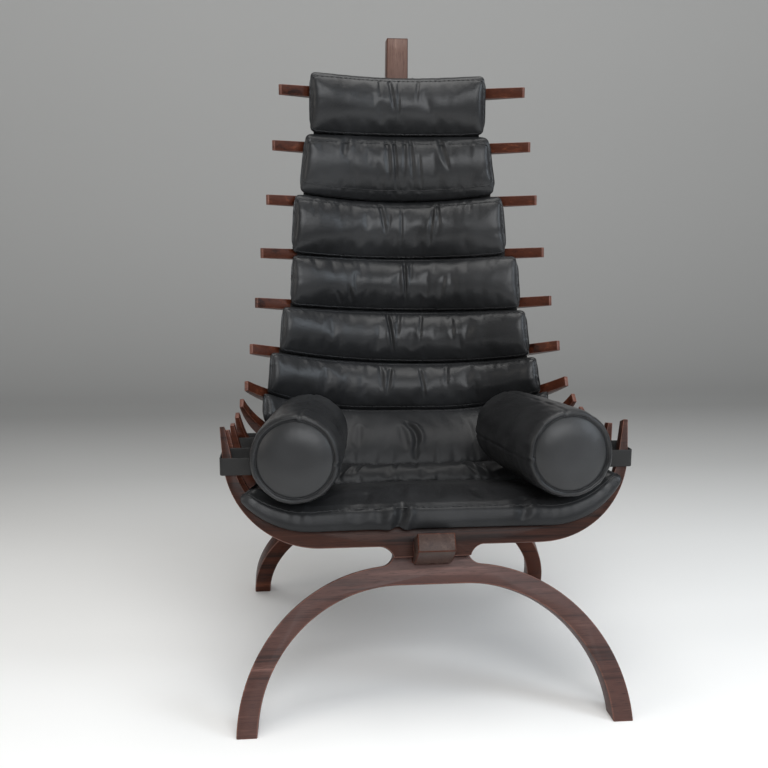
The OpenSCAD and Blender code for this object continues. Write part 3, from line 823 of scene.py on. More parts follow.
@dataclass(frozen=True)
class BolsterLine:
    """The axis of the bolsters, in millimetres, from the front end on the right side."""

    front_x: float = 222.0
    front_y: float = -297.606
    front_z: float = 430.58
    fall: float = 4.8
    toe_in: float = 4.6
    radius: float = 72.0
    length: float = 336.0
    crown: float = 7.0
    room: float = 1.6
    end_room: float = 4.0

    @property
    def faces(self) -> tuple[float, float]:
        """Distances in metres from the front end to the two flat ends under the crowned panels."""
        return self.crown * MM, (self.length - self.crown) * MM

    def frame(self, side: Side) -> tuple[np.ndarray, np.ndarray, np.ndarray, np.ndarray]:
        """The frame of one bolster.

        Args:
            side: its side.

        Returns:
            The front end in metres, and the axis, outward and upward directions.
        """
        fall, toe = math.radians(self.fall), math.radians(self.toe_in)
        sign = side.value
        inward, back = math.sin(toe) * math.cos(fall), math.cos(toe) * math.cos(fall)
        axis = np.array([-sign * inward, back, -math.sin(fall)])
        out = np.array([sign * math.cos(toe), math.sin(toe), 0.0])
        up = np.cross(out, axis) * sign
        start = np.array([sign * self.front_x, self.front_y, self.front_z]) * MM
        return start, axis, out, up

    def clear(self, points: np.ndarray) -> np.ndarray:
        """Pushes points out of both bolsters.

        Args:
            points: points in metres, one row each.

        Returns:
            The points, those in a bolster moved straight away from its axis.
        """
        moved = np.array(points, float)
        for side in Side:
            start, axis, _, _ = self.frame(side)
            q = moved - start
            a = q @ axis
            w = q - a[:, None] * axis
            d = np.linalg.norm(w, axis=1)
            before, behind = -a - self.end_room * MM, a - (self.length + self.end_room) * MM
            past = np.maximum(0, behind) + np.maximum(0, before)
            r = (self.radius + self.room) * MM - past
            push = np.where((d < r) & (d > 1e-6), (r - d) / np.maximum(d, 1e-6), 0.0)
            moved += w * push[:, None]
        return moved


class Workshop:
    """Geometry trees that repeat a shape, follow a line or follow a rule, with plain meshes as results."""

    def __init__(self) -> None:
        """Starts with no trees."""
        self.trees: dict[str, bpy.types.NodeTree] = {}

    def tree(self, name: str, inputs: dict[str, str]) -> tuple[Desk, bpy.types.Node]:
        """Starts a geometry tree.

        Args:
            name: name of the tree.
            inputs: its inputs after the geometry, as name and kind of socket.

        Returns:
            The desk of the tree and its input node.
        """
        tree = bpy.data.node_groups.new(name, "GeometryNodeTree")
        tree.interface.new_socket("Geometry", in_out="INPUT", socket_type="NodeSocketGeometry")
        for key, kind in inputs.items():
            tree.interface.new_socket(key, in_out="INPUT", socket_type=kind)
        tree.interface.new_socket("Geometry", in_out="OUTPUT", socket_type="NodeSocketGeometry")
        self.trees[name] = tree
        desk = Desk(tree)
        return desk, desk.add("NodeGroupInput")

    def close(self, desk: Desk, geometry: Socket, material: Socket) -> None:
        """Ends a tree with Realize Instances and Set Material.

        Args:
            desk: desk of the tree.
            geometry: the geometry.
            material: its material.
        """
        real = desk.add("GeometryNodeRealizeInstances", {0: geometry}).outputs[0]
        painted = desk.add("GeometryNodeSetMaterial", {"Geometry": real, "Material": material}).outputs[0]
        desk.add("NodeGroupOutput", {0: painted})

    def repeat_tree(self) -> bpy.types.NodeTree:
        """Tree that sets a pattern at each vertex, turned to the attributes facing and lying.

        Returns:
            The tree, made once.
        """
        if "repeat_pattern" not in self.trees:
            inputs = {"Pattern": "NodeSocketObject", "Material": "NodeSocketMaterial"}
            desk, given = self.tree("repeat_pattern", inputs)
            pattern = desk.add("GeometryNodeObjectInfo", {"Object": given.outputs["Pattern"]})
            facing = desk.add("GeometryNodeInputNamedAttribute", {"Name": "facing"}, data_type="FLOAT_VECTOR")
            lying = desk.add("GeometryNodeInputNamedAttribute", {"Name": "lying"}, data_type="FLOAT_VECTOR")
            up = desk.add("FunctionNodeAlignRotationToVector", {"Vector": facing.outputs[0]}, axis="Z")
            turned = desk.add(
                "FunctionNodeAlignRotationToVector", {"Rotation": up.outputs[0], "Vector": lying.outputs[0]},
                axis="X", pivot_axis="Z",
            )
            dots = desk.add("GeometryNodeMeshToPoints", {"Mesh": given.outputs[0]}).outputs[0]
            placed = desk.add("GeometryNodeInstanceOnPoints", {
                "Points": dots, "Instance": pattern.outputs["Geometry"], "Rotation": turned.outputs[0],
            }).outputs[0]
            self.close(desk, placed, given.outputs["Material"])
        return self.trees["repeat_pattern"]

    def cord_tree(self) -> bpy.types.NodeTree:
        """Tree that lays a round cord along the edges of a mesh.

        Returns:
            The tree, made once.
        """
        if "lay_cord" not in self.trees:
            desk, given = self.tree("lay_cord", {
                "Radius": "NodeSocketFloat", "Sides": "NodeSocketInt", "Material": "NodeSocketMaterial",
            })
            line = desk.add("GeometryNodeMeshToCurve", {"Mesh": given.outputs[0]}).outputs[0]
            ring = desk.add(
                "GeometryNodeCurvePrimitiveCircle",
                {"Resolution": given.outputs["Sides"], "Radius": given.outputs["Radius"]},
            ).outputs["Curve"]
            tube = desk.add(
                "GeometryNodeCurveToMesh", {"Curve": line, "Profile Curve": ring, "Fill Caps": True}
            ).outputs[0]
            self.close(desk, tube, given.outputs["Material"])
        return self.trees["lay_cord"]

    def cover_tree(self) -> bpy.types.NodeTree:
        """Tree that rolls a grid into a bolster's cover, by the rule of its radius.

        Returns:
            The tree, made once.
        """
        middle_share, end_power, merge_gap = 0.02, 4.0, 1e-5
        if "roll_cover" not in self.trees:
            desk, given = self.tree("roll_cover", {
                "Length": "NodeSocketFloat", "Radius": "NodeSocketFloat", "Panel Radius": "NodeSocketFloat",
                "Shoulder": "NodeSocketFloat", "Rows": "NodeSocketInt", "Columns": "NodeSocketInt",
                "Material": "NodeSocketMaterial",
            })
            grid = desk.add("GeometryNodeMeshGrid", {
                "Size X": 1.0, "Size Y": 1.0,
                "Vertices X": given.outputs["Rows"], "Vertices Y": given.outputs["Columns"],
            }).outputs[0]
            place = desk.add("ShaderNodeSeparateXYZ", {0: desk.add("GeometryNodeInputPosition").outputs[0]})
            u = desk.math("ADD", place.outputs[0], 0.5)
            wave = desk.math("COSINE", desk.math("MULTIPLY", u, math.pi))
            t = desk.math("SUBTRACT", 0.5, desk.part(0.5, wave))
            length = given.outputs["Length"]
            y = desk.math("MULTIPLY", t, length)
            ends = desk.math("POWER", desk.math("ABSOLUTE", wave), end_power)
            slimmed = desk.math("SUBTRACT", 1.0, desk.part(middle_share, ends))
            body = desk.math("MULTIPLY", given.outputs["Radius"], slimmed)
            near = desk.math("MINIMUM", y, desk.math("SUBTRACT", length, y))
            share = desk.math("DIVIDE", near, given.outputs["Shoulder"], clamp=True)
            left = desk.math("SUBTRACT", 1.0, share)
            curve = desk.math("SQRT", desk.math("SUBTRACT", 1.0, desk.math("MULTIPLY", left, left)))
            panel = given.outputs["Panel Radius"]
            r = desk.math("ADD", panel, desk.math("MULTIPLY", desk.math("SUBTRACT", body, panel), curve))
            turn = desk.math("MULTIPLY", place.outputs[1], 2 * math.pi)
            x = desk.math("MULTIPLY", r, desk.math("COSINE", turn))
            z = desk.math("MULTIPLY", r, desk.math("SINE", turn))
            point = desk.add("ShaderNodeCombineXYZ", {0: x, 1: y, 2: z}).outputs[0]
            rolled = desk.add("GeometryNodeSetPosition", {"Geometry": grid, "Position": point}).outputs[0]
            closed = desk.add("GeometryNodeMergeByDistance", {"Geometry": rolled, "Distance": merge_gap})
            self.close(desk, closed.outputs[0], given.outputs["Material"])
        return self.trees["roll_cover"]

    def run(self, name: str, start: Mesh, tree: bpy.types.NodeTree, values: dict[str, Any]) -> Piece:
        """Runs a tree on a mesh.

        Args:
            name: name of the piece.
            start: mesh that the tree gets.
            tree: the tree.
            values: its inputs by name.

        Returns:
            The piece, a plain mesh.
        """
        piece = show(name, start)
        modifier = piece.modifiers.new("maker", "NODES")
        modifier.node_group = tree
        for item in tree.interface.items_tree:
            if item.in_out == "INPUT" and item.name in values:
                modifier[item.identifier] = values[item.name]
        return baked(piece)

    def cord(
        self, name: str, rings: list[np.ndarray], radius: float, sides: int, material: Material
    ) -> Piece:
        """Lays a cord along closed lines.

        Args:
            name: name of the piece.
            rings: the lines, as points in metres.
            radius: radius of the cord in metres.
            sides: number of its sides.
            material: its material.

        Returns:
            The cord.
        """
        mesh = bpy.data.meshes.new(name + "_line")
        edges: list[tuple[int, int]] = []
        for ring in rings:
            first, count = len(edges), len(ring)
            edges += [(first + i, first + (i + 1) % count) for i in range(count)]
        mesh.from_pydata(np.vstack(rings).tolist(), edges, [])
        values = {"Radius": radius, "Sides": sides, "Material": material}
        piece = self.run(name, mesh, self.cord_tree(), values)
        piece.data.shade_smooth()
        return piece

    def repeat(
        self, name: str, pattern: Piece, places: np.ndarray, facing: np.ndarray, lying: np.ndarray,
        material: Material,
    ) -> Piece:
        """Sets a pattern piece at many places.

        Args:
            name: name of the piece.
            pattern: the shape that is repeated.
            places: places in metres.
            facing: directions that the pattern's Z points in.
            lying: directions that its X points in.
            material: its material.

        Returns:
            The repeated shapes as one plain mesh.
        """
        mesh = bpy.data.meshes.new(name + "_places")
        mesh.from_pydata(np.asarray(places).tolist(), [], [])
        write_vectors(mesh, "facing", facing)
        write_vectors(mesh, "lying", lying)
        return self.run(name, mesh, self.repeat_tree(), {"Pattern": pattern, "Material": material})


def lathe(name: str, profile: list[tuple[float, float]], sides: int, material: Material) -> Mesh:
    """Turns a profile round Z.

    Args:
        name: name of the mesh.
        profile: radius and height of its points, from the lower end to the upper one.
        sides: number of sides.
        material: its material.

    Returns:
        The closed mesh.
    """
    angle = np.arange(sides) * 2 * np.pi / sides
    points = [(0.0, 0.0, profile[0][1])]
    for r, z in profile:
        points += [(r * math.cos(a), r * math.sin(a), z) for a in angle]
    points.append((0.0, 0.0, profile[-1][1]))
    faces: list[tuple[int, ...]] = []
    last = len(profile) - 1
    for i in range(sides):
        j = (i + 1) % sides
        faces.append((0, 1 + j, 1 + i))
        faces.append((len(points) - 1, 1 + last * sides + i, 1 + last * sides + j))
        for k in range(last):
            a, b = 1 + k * sides, 1 + (k + 1) * sides
            faces.append((a + i, a + j, b + j, b + i))
    return mesh_of(name, np.array(points), faces, material)


@dataclass
class WoodenFrame:
    """The spine, the ribs and the leg frames, with their edges eased."""

    lines: ChairLines
    finishes: Finishes
    spine_edge: float = 1.6 * MM
    rib_edge: float = 0.9 * MM
    leg_edge: float = 1.8 * MM
    tip_len: float = 20.0
    tip_r: float = 16.0 * MM
    grain_shift: float = 3.0

    def grain(self, mesh: Mesh, number: int, along_spine: bool) -> None:
        """Writes each vertex's place in the board that the piece was cut from.

        Args:
            mesh: mesh of the piece.
            number: number of the board, which shifts the figure.
            along_spine: whether the grain follows the spine instead of X.
        """
        place = coordinates(mesh)
        shift = np.random.default_rng(100 + number).uniform(-self.grain_shift, self.grain_shift, 3)
        if along_spine:
            shift[0] = 0.0
            s, reach = self.lines.along_spine(place)
            place = np.stack([s, place[:, 0], reach], axis=1)
        write_vectors(mesh, "grain_place", place + shift)

    def tips(self, mesh: Mesh, k: int) -> None:
        """Gives the end faces of a rib's two horns the edges' material, a lighter copy of the rosewood with
        painted highlight.

        Args:
            mesh: mesh of the rib.
            k: number of the rib, counted from the top.
        """
        s = np.full(2, (self.lines.ribs - k) * self.lines.pitch)
        up = self.lines.up_of(s)
        flat, r, slope, _, arm = self.lines.inner_edge(up)
        length = flat + r * slope + arm
        for sign in (-1.0, 1.0):
            across = sign * (length - np.array([self.tip_len, 0.0]))
            ends = self.lines.point(s, across, np.zeros(2), up)
            along = (ends[1] - ends[0]) / np.linalg.norm(ends[1] - ends[0])
            for face in mesh.polygons:
                near = np.linalg.norm(np.array(face.center) - ends[1]) < self.tip_r
                if near and float(np.dot(np.array(face.normal), along)) > 0.9:
                    # the horn's end face gets the painted highlight
                    face.material_index = 1

    def eased(self, node: str, number: int, width: float, wood: Material, edge: Material) -> None:
        """Dresses a node as a board with eased edges.

        Args:
            node: name of the node.
            number: number of its board.
            width: width of the eased edge in metres.
            wood: finish of its faces.
            edge: lighter copy of the rosewood with painted highlight, for its eased edges and, on a rib, for
                the horns' ends.
        """
        mesh = merged_copy(node, node + "_wood", wood, edge)
        if node.startswith("rib_"):
            self.tips(mesh, number)
        self.grain(mesh, number, node == "spine")
        piece = show(node + "_wood", mesh)
        # the rounded edges take material 1, the lighter copy with painted highlight
        round_edges(piece, width, 2, 40, 32, 1)
        settle(piece, "chair", Slot.ROSEWOOD, node)

    def build(self) -> None:
        """Makes all the wooden pieces. The front rib gets a darker copy of the rosewood with painted shade,
        the front leg a lighter copy with painted sheen, and the spine a lighter copy with painted light.
        """
        own, ribs = self.finishes, self.lines.ribs
        # the spine's finish carries painted light
        self.eased("spine", 0, self.spine_edge, own.spine, own.wood)
        for k in range(1, ribs + 1):
            # the front rib gets the darker copy of the rosewood with painted shade
            self.eased(f"rib_{k:02d}", k, self.rib_edge, own.front if k == ribs else own.wood, own.edge)
        # the front leg's finish is a lighter copy of the rosewood with painted sheen
        self.eased("front_leg_frame", 20, self.leg_edge, own.leg, own.edge)
        self.eased("rear_leg_frame", 21, self.leg_edge, own.wood, own.edge)


@dataclass
class Fasteners:
    """Plugs, screws, bolts, washers and threaded inserts."""

    lines: ChairLines
    finishes: Finishes
    workshop: Workshop
    spine_t: float = 42.0
    plug_r: float = 5.0
    plug_proud: float = 0.35
    plug_sides: int = 24
    plug_dome: tuple[tuple[float, float], ...] = (
        (0.98, -4.8), (1.0, -4.4), (1.0, -0.7), (0.93, -0.2), (0.6, 0.0), (0.1, 0.1)
    )

    def steel(self) -> None:
        """Gives the metal pieces, which keep their nodes, their finish."""
        for node in ("rib_screws", "front_rib_screws", "leg_bolts", "leg_bolt_washers", "leg_bolt_inserts"):
            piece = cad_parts[node]
            piece.data.materials.clear()
            piece.data.materials.append(self.finishes.steel)

    def plugs(self) -> None:
        """Sets domed plugs over the screws at the back of the spine."""
        profile = [(self.plug_r * MM * share, z * MM) for share, z in self.plug_dome]
        pattern = show("plug_pattern", lathe("plug_pattern", profile, self.plug_sides, self.finishes.plug))
        s = np.arange(self.lines.ribs) * self.lines.pitch
        y, z, heading = self.lines.spine_at(s)
        reach, level = self.plug_proud - self.spine_t, np.zeros_like(s)
        back = y - reach * np.sin(heading) - self.lines.centre_y
        places = np.stack([level, back, z + reach * np.cos(heading)], axis=1) * MM
        facing = np.stack([level, np.sin(heading), -np.cos(heading)], axis=1)
        lying = np.tile([1.0, 0.0, 0.0], (len(s), 1))
        piece = self.workshop.repeat("screw_plugs_domed", pattern, places, facing, lying, self.finishes.plug)
        bpy.data.objects.remove(pattern)
        mesh = piece.data
        write_vectors(mesh, "grain_place", coordinates(mesh)[:, [2, 0, 1]] + 1.7)
        mesh.shade_smooth()
        mesh.set_sharp_from_angle(angle=math.radians(40))
        settle(piece, "chair", Slot.PLUG_WOOD, "screw_plugs")

    def build(self) -> None:
        """Dresses the fasteners."""
        self.steel()
        self.plugs()


@dataclass(frozen=True)
class Crease:
    """A fold in a pad's front, in metres across from the middle and in shares of the pad's length.

    The slant and the bend move its middle sideways, and each lip is a height, an offset and a width in
    shares of the fold's own size.
    """

    across: float
    low: float
    high: float
    depth: float = 3 * MM
    width: float = 4.5 * MM
    slant: float = 0.0
    bend: float = 0.0
    fade_in: float = 2.2
    fade_out: float = 5.0
    lips: tuple[Triple, ...] = ((0.50, 1.8, 1.0), (0.34, -2.0, 1.3))

    def height(self, x: np.ndarray, a: np.ndarray) -> np.ndarray:
        """Height that the fold adds.

        Args:
            x: distances across, in metres.
            a: shares of the pad's length from its lower seam.

        Returns:
            Heights in metres: a valley with a soft lip at each side.
        """
        share = (a - self.low) / (self.high - self.low)
        inside = np.clip(np.minimum(share * self.fade_in, (1 - share) * self.fade_out), 0, 1)
        fade = inside * inside * (3 - 2 * inside)
        bow = self.bend * np.sin(np.pi * np.clip(share, 0, 1))
        middle = self.across + self.slant * (share - 0.5) + bow
        d = (x - middle) / (self.width * (0.45 + 0.35 * fade))
        profile = -np.exp(-d * d)
        for rise, offset, spread in self.lips:
            profile = profile + rise * np.exp(-((d - offset) / spread) ** 2)
        return self.depth * fade * profile


@dataclass(frozen=True)
class PadPlan:
    """One pad of the cushion: its node, its seams along the spine in millimetres and its folds.

    The numbers in low_sag and high_sag say how far a seam has sagged at the left end, in the middle and at
    the right end. The turns say how far up the shoulders the front panel is sewn. The numbers in wider are
    added to half of the width at the lower and the upper seam, and a low roundness makes a boxy section. The
    puff is added to the crown, and its rule moves the fullest place towards the lower seam.
    """

    node: str
    low: float
    high: float
    seed: int
    low_seam_h: float = 16.0
    gather: float = 1.0
    low_sag: Triple = (0.0, 0.0, 0.0)
    high_sag: Triple = (0.0, 0.0, 0.0)
    low_turn: float = 20.0
    high_turn: float = 24.0
    overhang: float = 0.0
    shift: float = 0.0
    wider: tuple[float, float] = (0.0, 0.0)
    roundness: float = 0.94
    puff: float = 5.0
    puff_rule: float = 1.0
    creases: tuple[Crease, ...] = ()

    def sag(self, c: np.ndarray, u: np.ndarray) -> np.ndarray:
        """Sag of the pad.

        Args:
            c: shares across from -1 to 1.
            u: shares along from 0 to 1.

        Returns:
            Sags in millimetres.
        """
        total = np.zeros(np.broadcast(c, u).shape)
        for (left, middle, right), weight in ((self.low_sag, 1 - u), (self.high_sag, u)):
            bow = middle - (left + right) / 2
            total = total + weight * ((left + right) / 2 + (right - left) / 2 * c + bow * (1 - c * c))
        return total


PADS: tuple[PadPlan, ...] = (
    PadPlan(
        "head_pad", 1146, 1270, 1, shift=-9, wider=(4, 4), low_sag=(-1.5, 0, 1), high_sag=(-2, 5, 1),
        high_turn=32, gather=0.7, creases=(
            Crease(-0.050, 0.55, 0.98, 0.0016, 0.005, 0.006),
            Crease(-0.022, 0.35, 1.0, 0.0028, 0.005, -0.010),
            Crease(-0.006, 0.12, 1.0, 0.0018, 0.0035, 0.002), Crease(0.038, 0.5, 0.98, 0.0020, 0.004, 0.004),
        ),
    ),
    PadPlan(
        "back_pad_2", 1021, 1146, 2, shift=-9, wider=(9, 4), low_sag=(-3, 12, 0), high_sag=(-1.5, 0, 1),
        low_turn=46, high_turn=44, gather=1.3, creases=(
            Crease(-0.030, 0.15, 1.0, 0.0024, 0.006, -0.006),
            Crease(-0.012, 0.08, 1.0, 0.0034, 0.004, -0.006),
            Crease(0.008, 0.2, 1.0, 0.0022, 0.005, 0.004), Crease(0.026, 0.1, 1.0, 0.0024, 0.005, -0.010),
            Crease(0.046, 0.08, 0.75, 0.0020, 0.004, -0.008), Crease(0.100, 0.4, 1.0, 0.0036, 0.007, -0.030),
            Crease(-0.130, 0.6, 1.0, 0.003, 0.008, 0.02),
        ),
    ),
    PadPlan(
        "back_pad_3", 896, 1021, 3, shift=-7, wider=(6, 5), low_sag=(0, 8, 4), high_sag=(-3, 12, 0),
        high_turn=38, gather=1.1, creases=(
            Crease(-0.042, 0.3, 1.0, 0.0030, 0.005, -0.012), Crease(-0.030, 0.3, 0.8, 0.0016, 0.004, 0.012),
            Crease(0.001, 0.05, 0.95, 0.0022, 0.0035, 0.002),
            Crease(0.072, 0.1, 0.95, 0.0030, 0.0045, 0.010),
            Crease(0.088, 0.5, 1.0, 0.0020, 0.005, -0.010),
        ),
    ),
    PadPlan(
        "back_pad_4", 783, 896, 4, shift=5, wider=(0, 1), low_sag=(5, 10, 17), high_sag=(0, 8, 4),
        high_turn=22, gather=0.8, creases=(
            Crease(0.010, 0.12, 0.98, 0.0055, 0.0042, -0.002), Crease(0.024, 0.5, 1.0, 0.0014, 0.004, 0.003),
            Crease(-0.125, 0.05, 0.5, 0.0028, 0.006, -0.022),
            Crease(-0.150, 0.05, 0.35, 0.0022, 0.006, -0.02),
            Crease(0.100, 0.2, 0.7, 0.0018, 0.007, 0.012),
        ),
    ),
    PadPlan(
        "back_pad_5", 670, 783, 5, shift=1, low_sag=(0, 13, 18), high_sag=(5, 10, 17), gather=0.7, creases=(
            Crease(-0.026, 0.05, 1.0, 0.0060, 0.0048, -0.014),
            Crease(-0.008, 0.4, 1.0, 0.0022, 0.006, 0.010),
            Crease(0.045, 0.3, 0.95, 0.0018, 0.004, 0.006), Crease(0.120, 0.3, 0.9, 0.0014, 0.006, -0.004),
        ),
    ),
    PadPlan(
        "back_pad_6", 557, 670, 6, shift=-3, wider=(4, 4), low_sag=(4, 13, 14), high_sag=(0, 13, 18),
        gather=0.7, creases=(
            Crease(-0.045, 0.25, 0.95, 0.0026, 0.006, -0.010),
            Crease(-0.030, 0.2, 0.9, 0.0036, 0.0045, 0.012),
            Crease(0.042, 0.12, 0.9, 0.0036, 0.0042, -0.008), Crease(0.100, 0.4, 0.95, 0.0018, 0.006, 0.004),
        ),
    ),
    PadPlan(
        "lumbar_pad", 376, 557, 7, low_sag=(0, 14, 0), high_sag=(4, 13, 14), gather=0.6, creases=(
            Crease(0.004, 0.15, 0.75, 0.0065, 0.0080, -0.012, 0.016),
            Crease(-0.096, 0.2, 0.7, 0.0018, 0.008, 0.004), Crease(0.018, 0.03, 0.4, 0.0022, 0.008, 0.012),
        ),
    ),
    PadPlan(
        "rear_seat_pad", 282, 376, 8, high_sag=(0, 14, 0), high_turn=20, gather=1.5, creases=(
            Crease(-0.125, 0.1, 0.95, 0.0060, 0.006, 0.035), Crease(-0.098, 0.15, 0.9, 0.0040, 0.005, 0.03),
            Crease(0.112, 0.1, 0.95, 0.0060, 0.006, -0.035), Crease(0.135, 0.15, 0.9, 0.0040, 0.005, -0.03),
            Crease(0.010, 0.3, 0.95, 0.0026, 0.005, 0.0), Crease(-0.03, 0.2, 0.9, 0.0022, 0.005, 0.01),
        ),
    ),
    PadPlan(
        "front_seat_pad", -20, 282, 9, low_seam_h=46, overhang=11, shift=10.5, wider=(3, 0), roundness=0.74,
        puff=20, puff_rule=0.60, low_turn=12, high_turn=20, gather=0.8, creases=(
            Crease(-0.056, -0.25, 0.06, 0.0075, 0.010, 0.020),
            Crease(-0.036, 0.03, 0.50, 0.0055, 0.012, 0.020, -0.006),
            Crease(-0.120, -0.12, 0.05, 0.0014, 0.013, 0.006),
            Crease(-0.088, -0.12, 0.05, 0.0012, 0.012, -0.004),
            Crease(-0.105, 0.03, 0.22, 0.0024, 0.010, 0.004),
            Crease(0.150, -0.14, 0.09, 0.0036, 0.012, 0.012),
            Crease(0.085, 0.04, 0.26, 0.0022, 0.012, -0.008),
            Crease(0.020, 0.05, 0.30, 0.0020, 0.010, 0.004),
        ),
    ),
)


@dataclass
class Cushion:
    """The nine leather pads, each a stuffed box whose front panel is sewn to a gusset.

    Lengths in the section and round the ends are in millimetres. The slack, the pressure, the cap and the
    frames belong to the blowing up: the cap is the farthest, in metres, that the leather moves.
    """

    lines: ChairLines
    bolsters: BolsterLine
    finishes: Finishes
    workshop: Workshop
    crown: float = 42.0
    seam_h: float = 16.0
    base_share: float = 0.72
    under_round: float = 0.42
    overhang_round: float = 0.60
    drop_start: float = -12.0
    drop_len: float = 9.0
    drop: float = 23.0
    end_drop: float = 3.0
    wave_h: float = 0.30
    wave_len: float = 58.0
    wavelet_h: float = 0.06
    wavelet_len: float = 23.0
    end_gap: float = 0.3
    soft_h: float = 9.0
    end_share: float = 0.58
    draw: float = 2.5
    lift: float = 0.7
    end_r: float = 12.0
    cell: float = 5.0
    under_cell: float = 11.0
    held_columns: int = 6
    seam_column: int = 4
    slack: float = -0.004
    pressure: float = 3.0
    cap: float = 3.8 * MM
    frames: int = 14
    welt_r: float = 1.1 * MM
    hinge_share: float = 0.945
    hinge_half: float = 9.0
    hinge_faces: tuple[float, float] = (0.25, 0.6)
    hinge_columns: int = 61

    def loop(self, plan: PadPlan) -> tuple[np.ndarray, np.ndarray, np.ndarray]:
        """The section of a pad, as a closed line.

        Args:
            plan: the pad.

        Returns:
            Shares along the spine from -1 to 1, shares of the height from -1 to 1, and turns in degrees.
        """
        length = plan.high - plan.low
        top = np.linspace(0, 180, int(round(length * 1.2 / self.cell)), endpoint=False)
        under = np.linspace(180, 360, int(round(length / self.under_cell)), endpoint=False)
        turn = np.concatenate([top, under])
        c, s = np.cos(np.radians(turn)), np.sin(np.radians(turn))
        power = np.where(turn <= 180, plan.roundness, self.under_round)
        if plan.overhang > 0:
            power = np.where((turn > 180) & (turn < 270), self.overhang_round, power)
        return np.sign(c) * np.abs(c) ** power, np.sign(s) * np.abs(s) ** power, turn

    def columns(self, half_w: float) -> tuple[np.ndarray, np.ndarray]:
        """The columns across a pad.

        Args:
            half_w: half of the pad's width.

        Returns:
            Shares across, a little past 1 on the end faces, and how far each column's section is drawn in.
        """
        edge = self.end_r / half_w
        count = int(round((half_w - self.end_r) / self.cell))
        turn = np.radians([22.5, 45.0, 67.5, 90.0])
        c = np.concatenate([np.linspace(0, 1 - edge, count + 1), 1 - edge + edge * np.sin(turn)])
        inset = np.concatenate([np.zeros(count + 1), self.end_r * (1 - np.cos(turn))])
        face_bulge, face_inset = np.array([1.6, 2.4, 2.8]), np.array([4.0, 9.0, 14.0])
        c = np.concatenate([c, 1 + face_bulge / half_w])
        inset = np.concatenate([inset, self.end_r + face_inset])
        return np.concatenate([-c[:0:-1], c]), np.concatenate([inset[:0:-1], inset])

    def heights(
        self, plan: PadPlan, x: np.ndarray, u: np.ndarray, outer: np.ndarray, b: np.ndarray, inset: np.ndarray
    ) -> np.ndarray:
        """Heights of a pad's vertices over the ribs.

        Args:
            plan: the pad.
            x: distances across in millimetres.
            u: shares along from 0 to 1.
            outer: shares across from the middle, from 0 to 1.
            b: shares of the height from -1 to 1.
            inset: how far each vertex's section is drawn in.

        Returns:
            Heights in millimetres.
        """
        share = 1 - (1 - self.end_share) * outer ** 4
        seam_h = plan.low_seam_h + (self.seam_h - plan.low_seam_h) * u
        base = seam_h * (self.base_share if plan.overhang == 0 else self.base_share - 0.2 * (1 - u))
        ripple = Ripple(plan.seed)
        wrinkle = self.wave_h * ripple.at(x / self.wave_len, u * 1.5)
        wrinkle = wrinkle + self.wavelet_h * ripple.at(x / self.wavelet_len + 7, u * 0.8)
        puff = plan.puff * np.sin(np.pi * np.clip(u, 0, 1) ** plan.puff_rule) * (1 - outer ** 3)
        top = base + (self.crown + puff - base) * np.maximum(b, 0)
        front = np.clip(b * 1.5 - 0.35, 0, 1)
        top = share * top + front * wrinkle * (1 - 0.6 * outer ** 6)
        under = base * share + (base * share - self.lift) * np.minimum(b, 0)
        h = np.where(b >= 0, top, under)
        mid_h = share * self.crown * (0.5 if plan.overhang == 0 else 0.4)
        return mid_h + (h - mid_h) * np.maximum(0.06, 1 - inset / mid_h)

    def shape(self, plan: PadPlan) -> tuple[np.ndarray, np.ndarray, np.ndarray, tuple[int, int]]:
        """Places the vertices of a pad.

        Args:
            plan: the pad.

        Returns:
            Points, one row each, their distances across, their shares along, and the grid's two counts.
        """
        a, b, _ = self.loop(plan)
        low, high = plan.low + self.end_gap - plan.overhang, plan.high - self.end_gap
        middle, half_len = (low + high) / 2, (high - low) / 2
        half_w = float(self.lines.half_width(np.array([middle]), middle)[0])
        c, inset = self.columns(half_w)
        cc, aa = np.meshgrid(c, a, indexing="ij")
        bb = np.broadcast_to(b, cc.shape)
        ii = np.broadcast_to(inset[:, None], cc.shape)
        outer = np.minimum(np.abs(cc), 1.0)
        along = aa * np.maximum(0.05, 1 - (ii + self.draw * outer ** 8) / half_len)
        u = (along + 1) / 2
        s = middle + half_len * along - plan.sag(np.clip(cc, -1, 1), u)
        widened = plan.wider[0] + (plan.wider[1] - plan.wider[0]) * u
        x = cc * (self.lines.half_width(s, middle) + widened) + plan.shift
        h = self.heights(plan, x, u, outer, bb, ii)
        soft = np.clip(h / self.soft_h, 0, 1)
        if plan.overhang > 0:
            drop = np.clip((self.drop_start - s) / self.drop_len, 0, 1)
            fall = (self.drop + self.end_drop * outer ** 6) * np.clip(1.15 - h / 32.0, 0, 1)
            h = h - drop * drop * (3 - 2 * drop) * fall
        up = self.lines.up_under(s) * (1 - soft) + self.lines.up_of(s) * soft
        points = self.lines.point(s, x, h, up)
        return points.reshape(-1, 3), (x * MM).ravel(), u.ravel(), cc.shape

    def mesh(self, plan: PadPlan, points: np.ndarray, counts: tuple[int, int]) -> Mesh:
        """Closes the grid of a pad into a mesh, with a pole in each end face.

        Args:
            plan: the pad.
            points: the grid's points, one row each.
            counts: the grid's two counts.

        Returns:
            The mesh.
        """
        across, around = counts
        faces: list[tuple[int, ...]] = []
        for k in range(across - 1):
            for m in range(around):
                n = (m + 1) % around
                faces.append((k * around + m, k * around + n, (k + 1) * around + n, (k + 1) * around + m))
        poles = [points[:around].mean(axis=0), points[-around:].mean(axis=0)]
        first, last = len(points), len(points) + 1
        for m in range(around):
            n = (m + 1) % around
            faces.append((first, n, m))
            faces.append((last, (across - 1) * around + m, (across - 1) * around + n))
        return mesh_of(plan.node + "_leather", np.vstack([points, poles]), faces, self.finishes.leather)

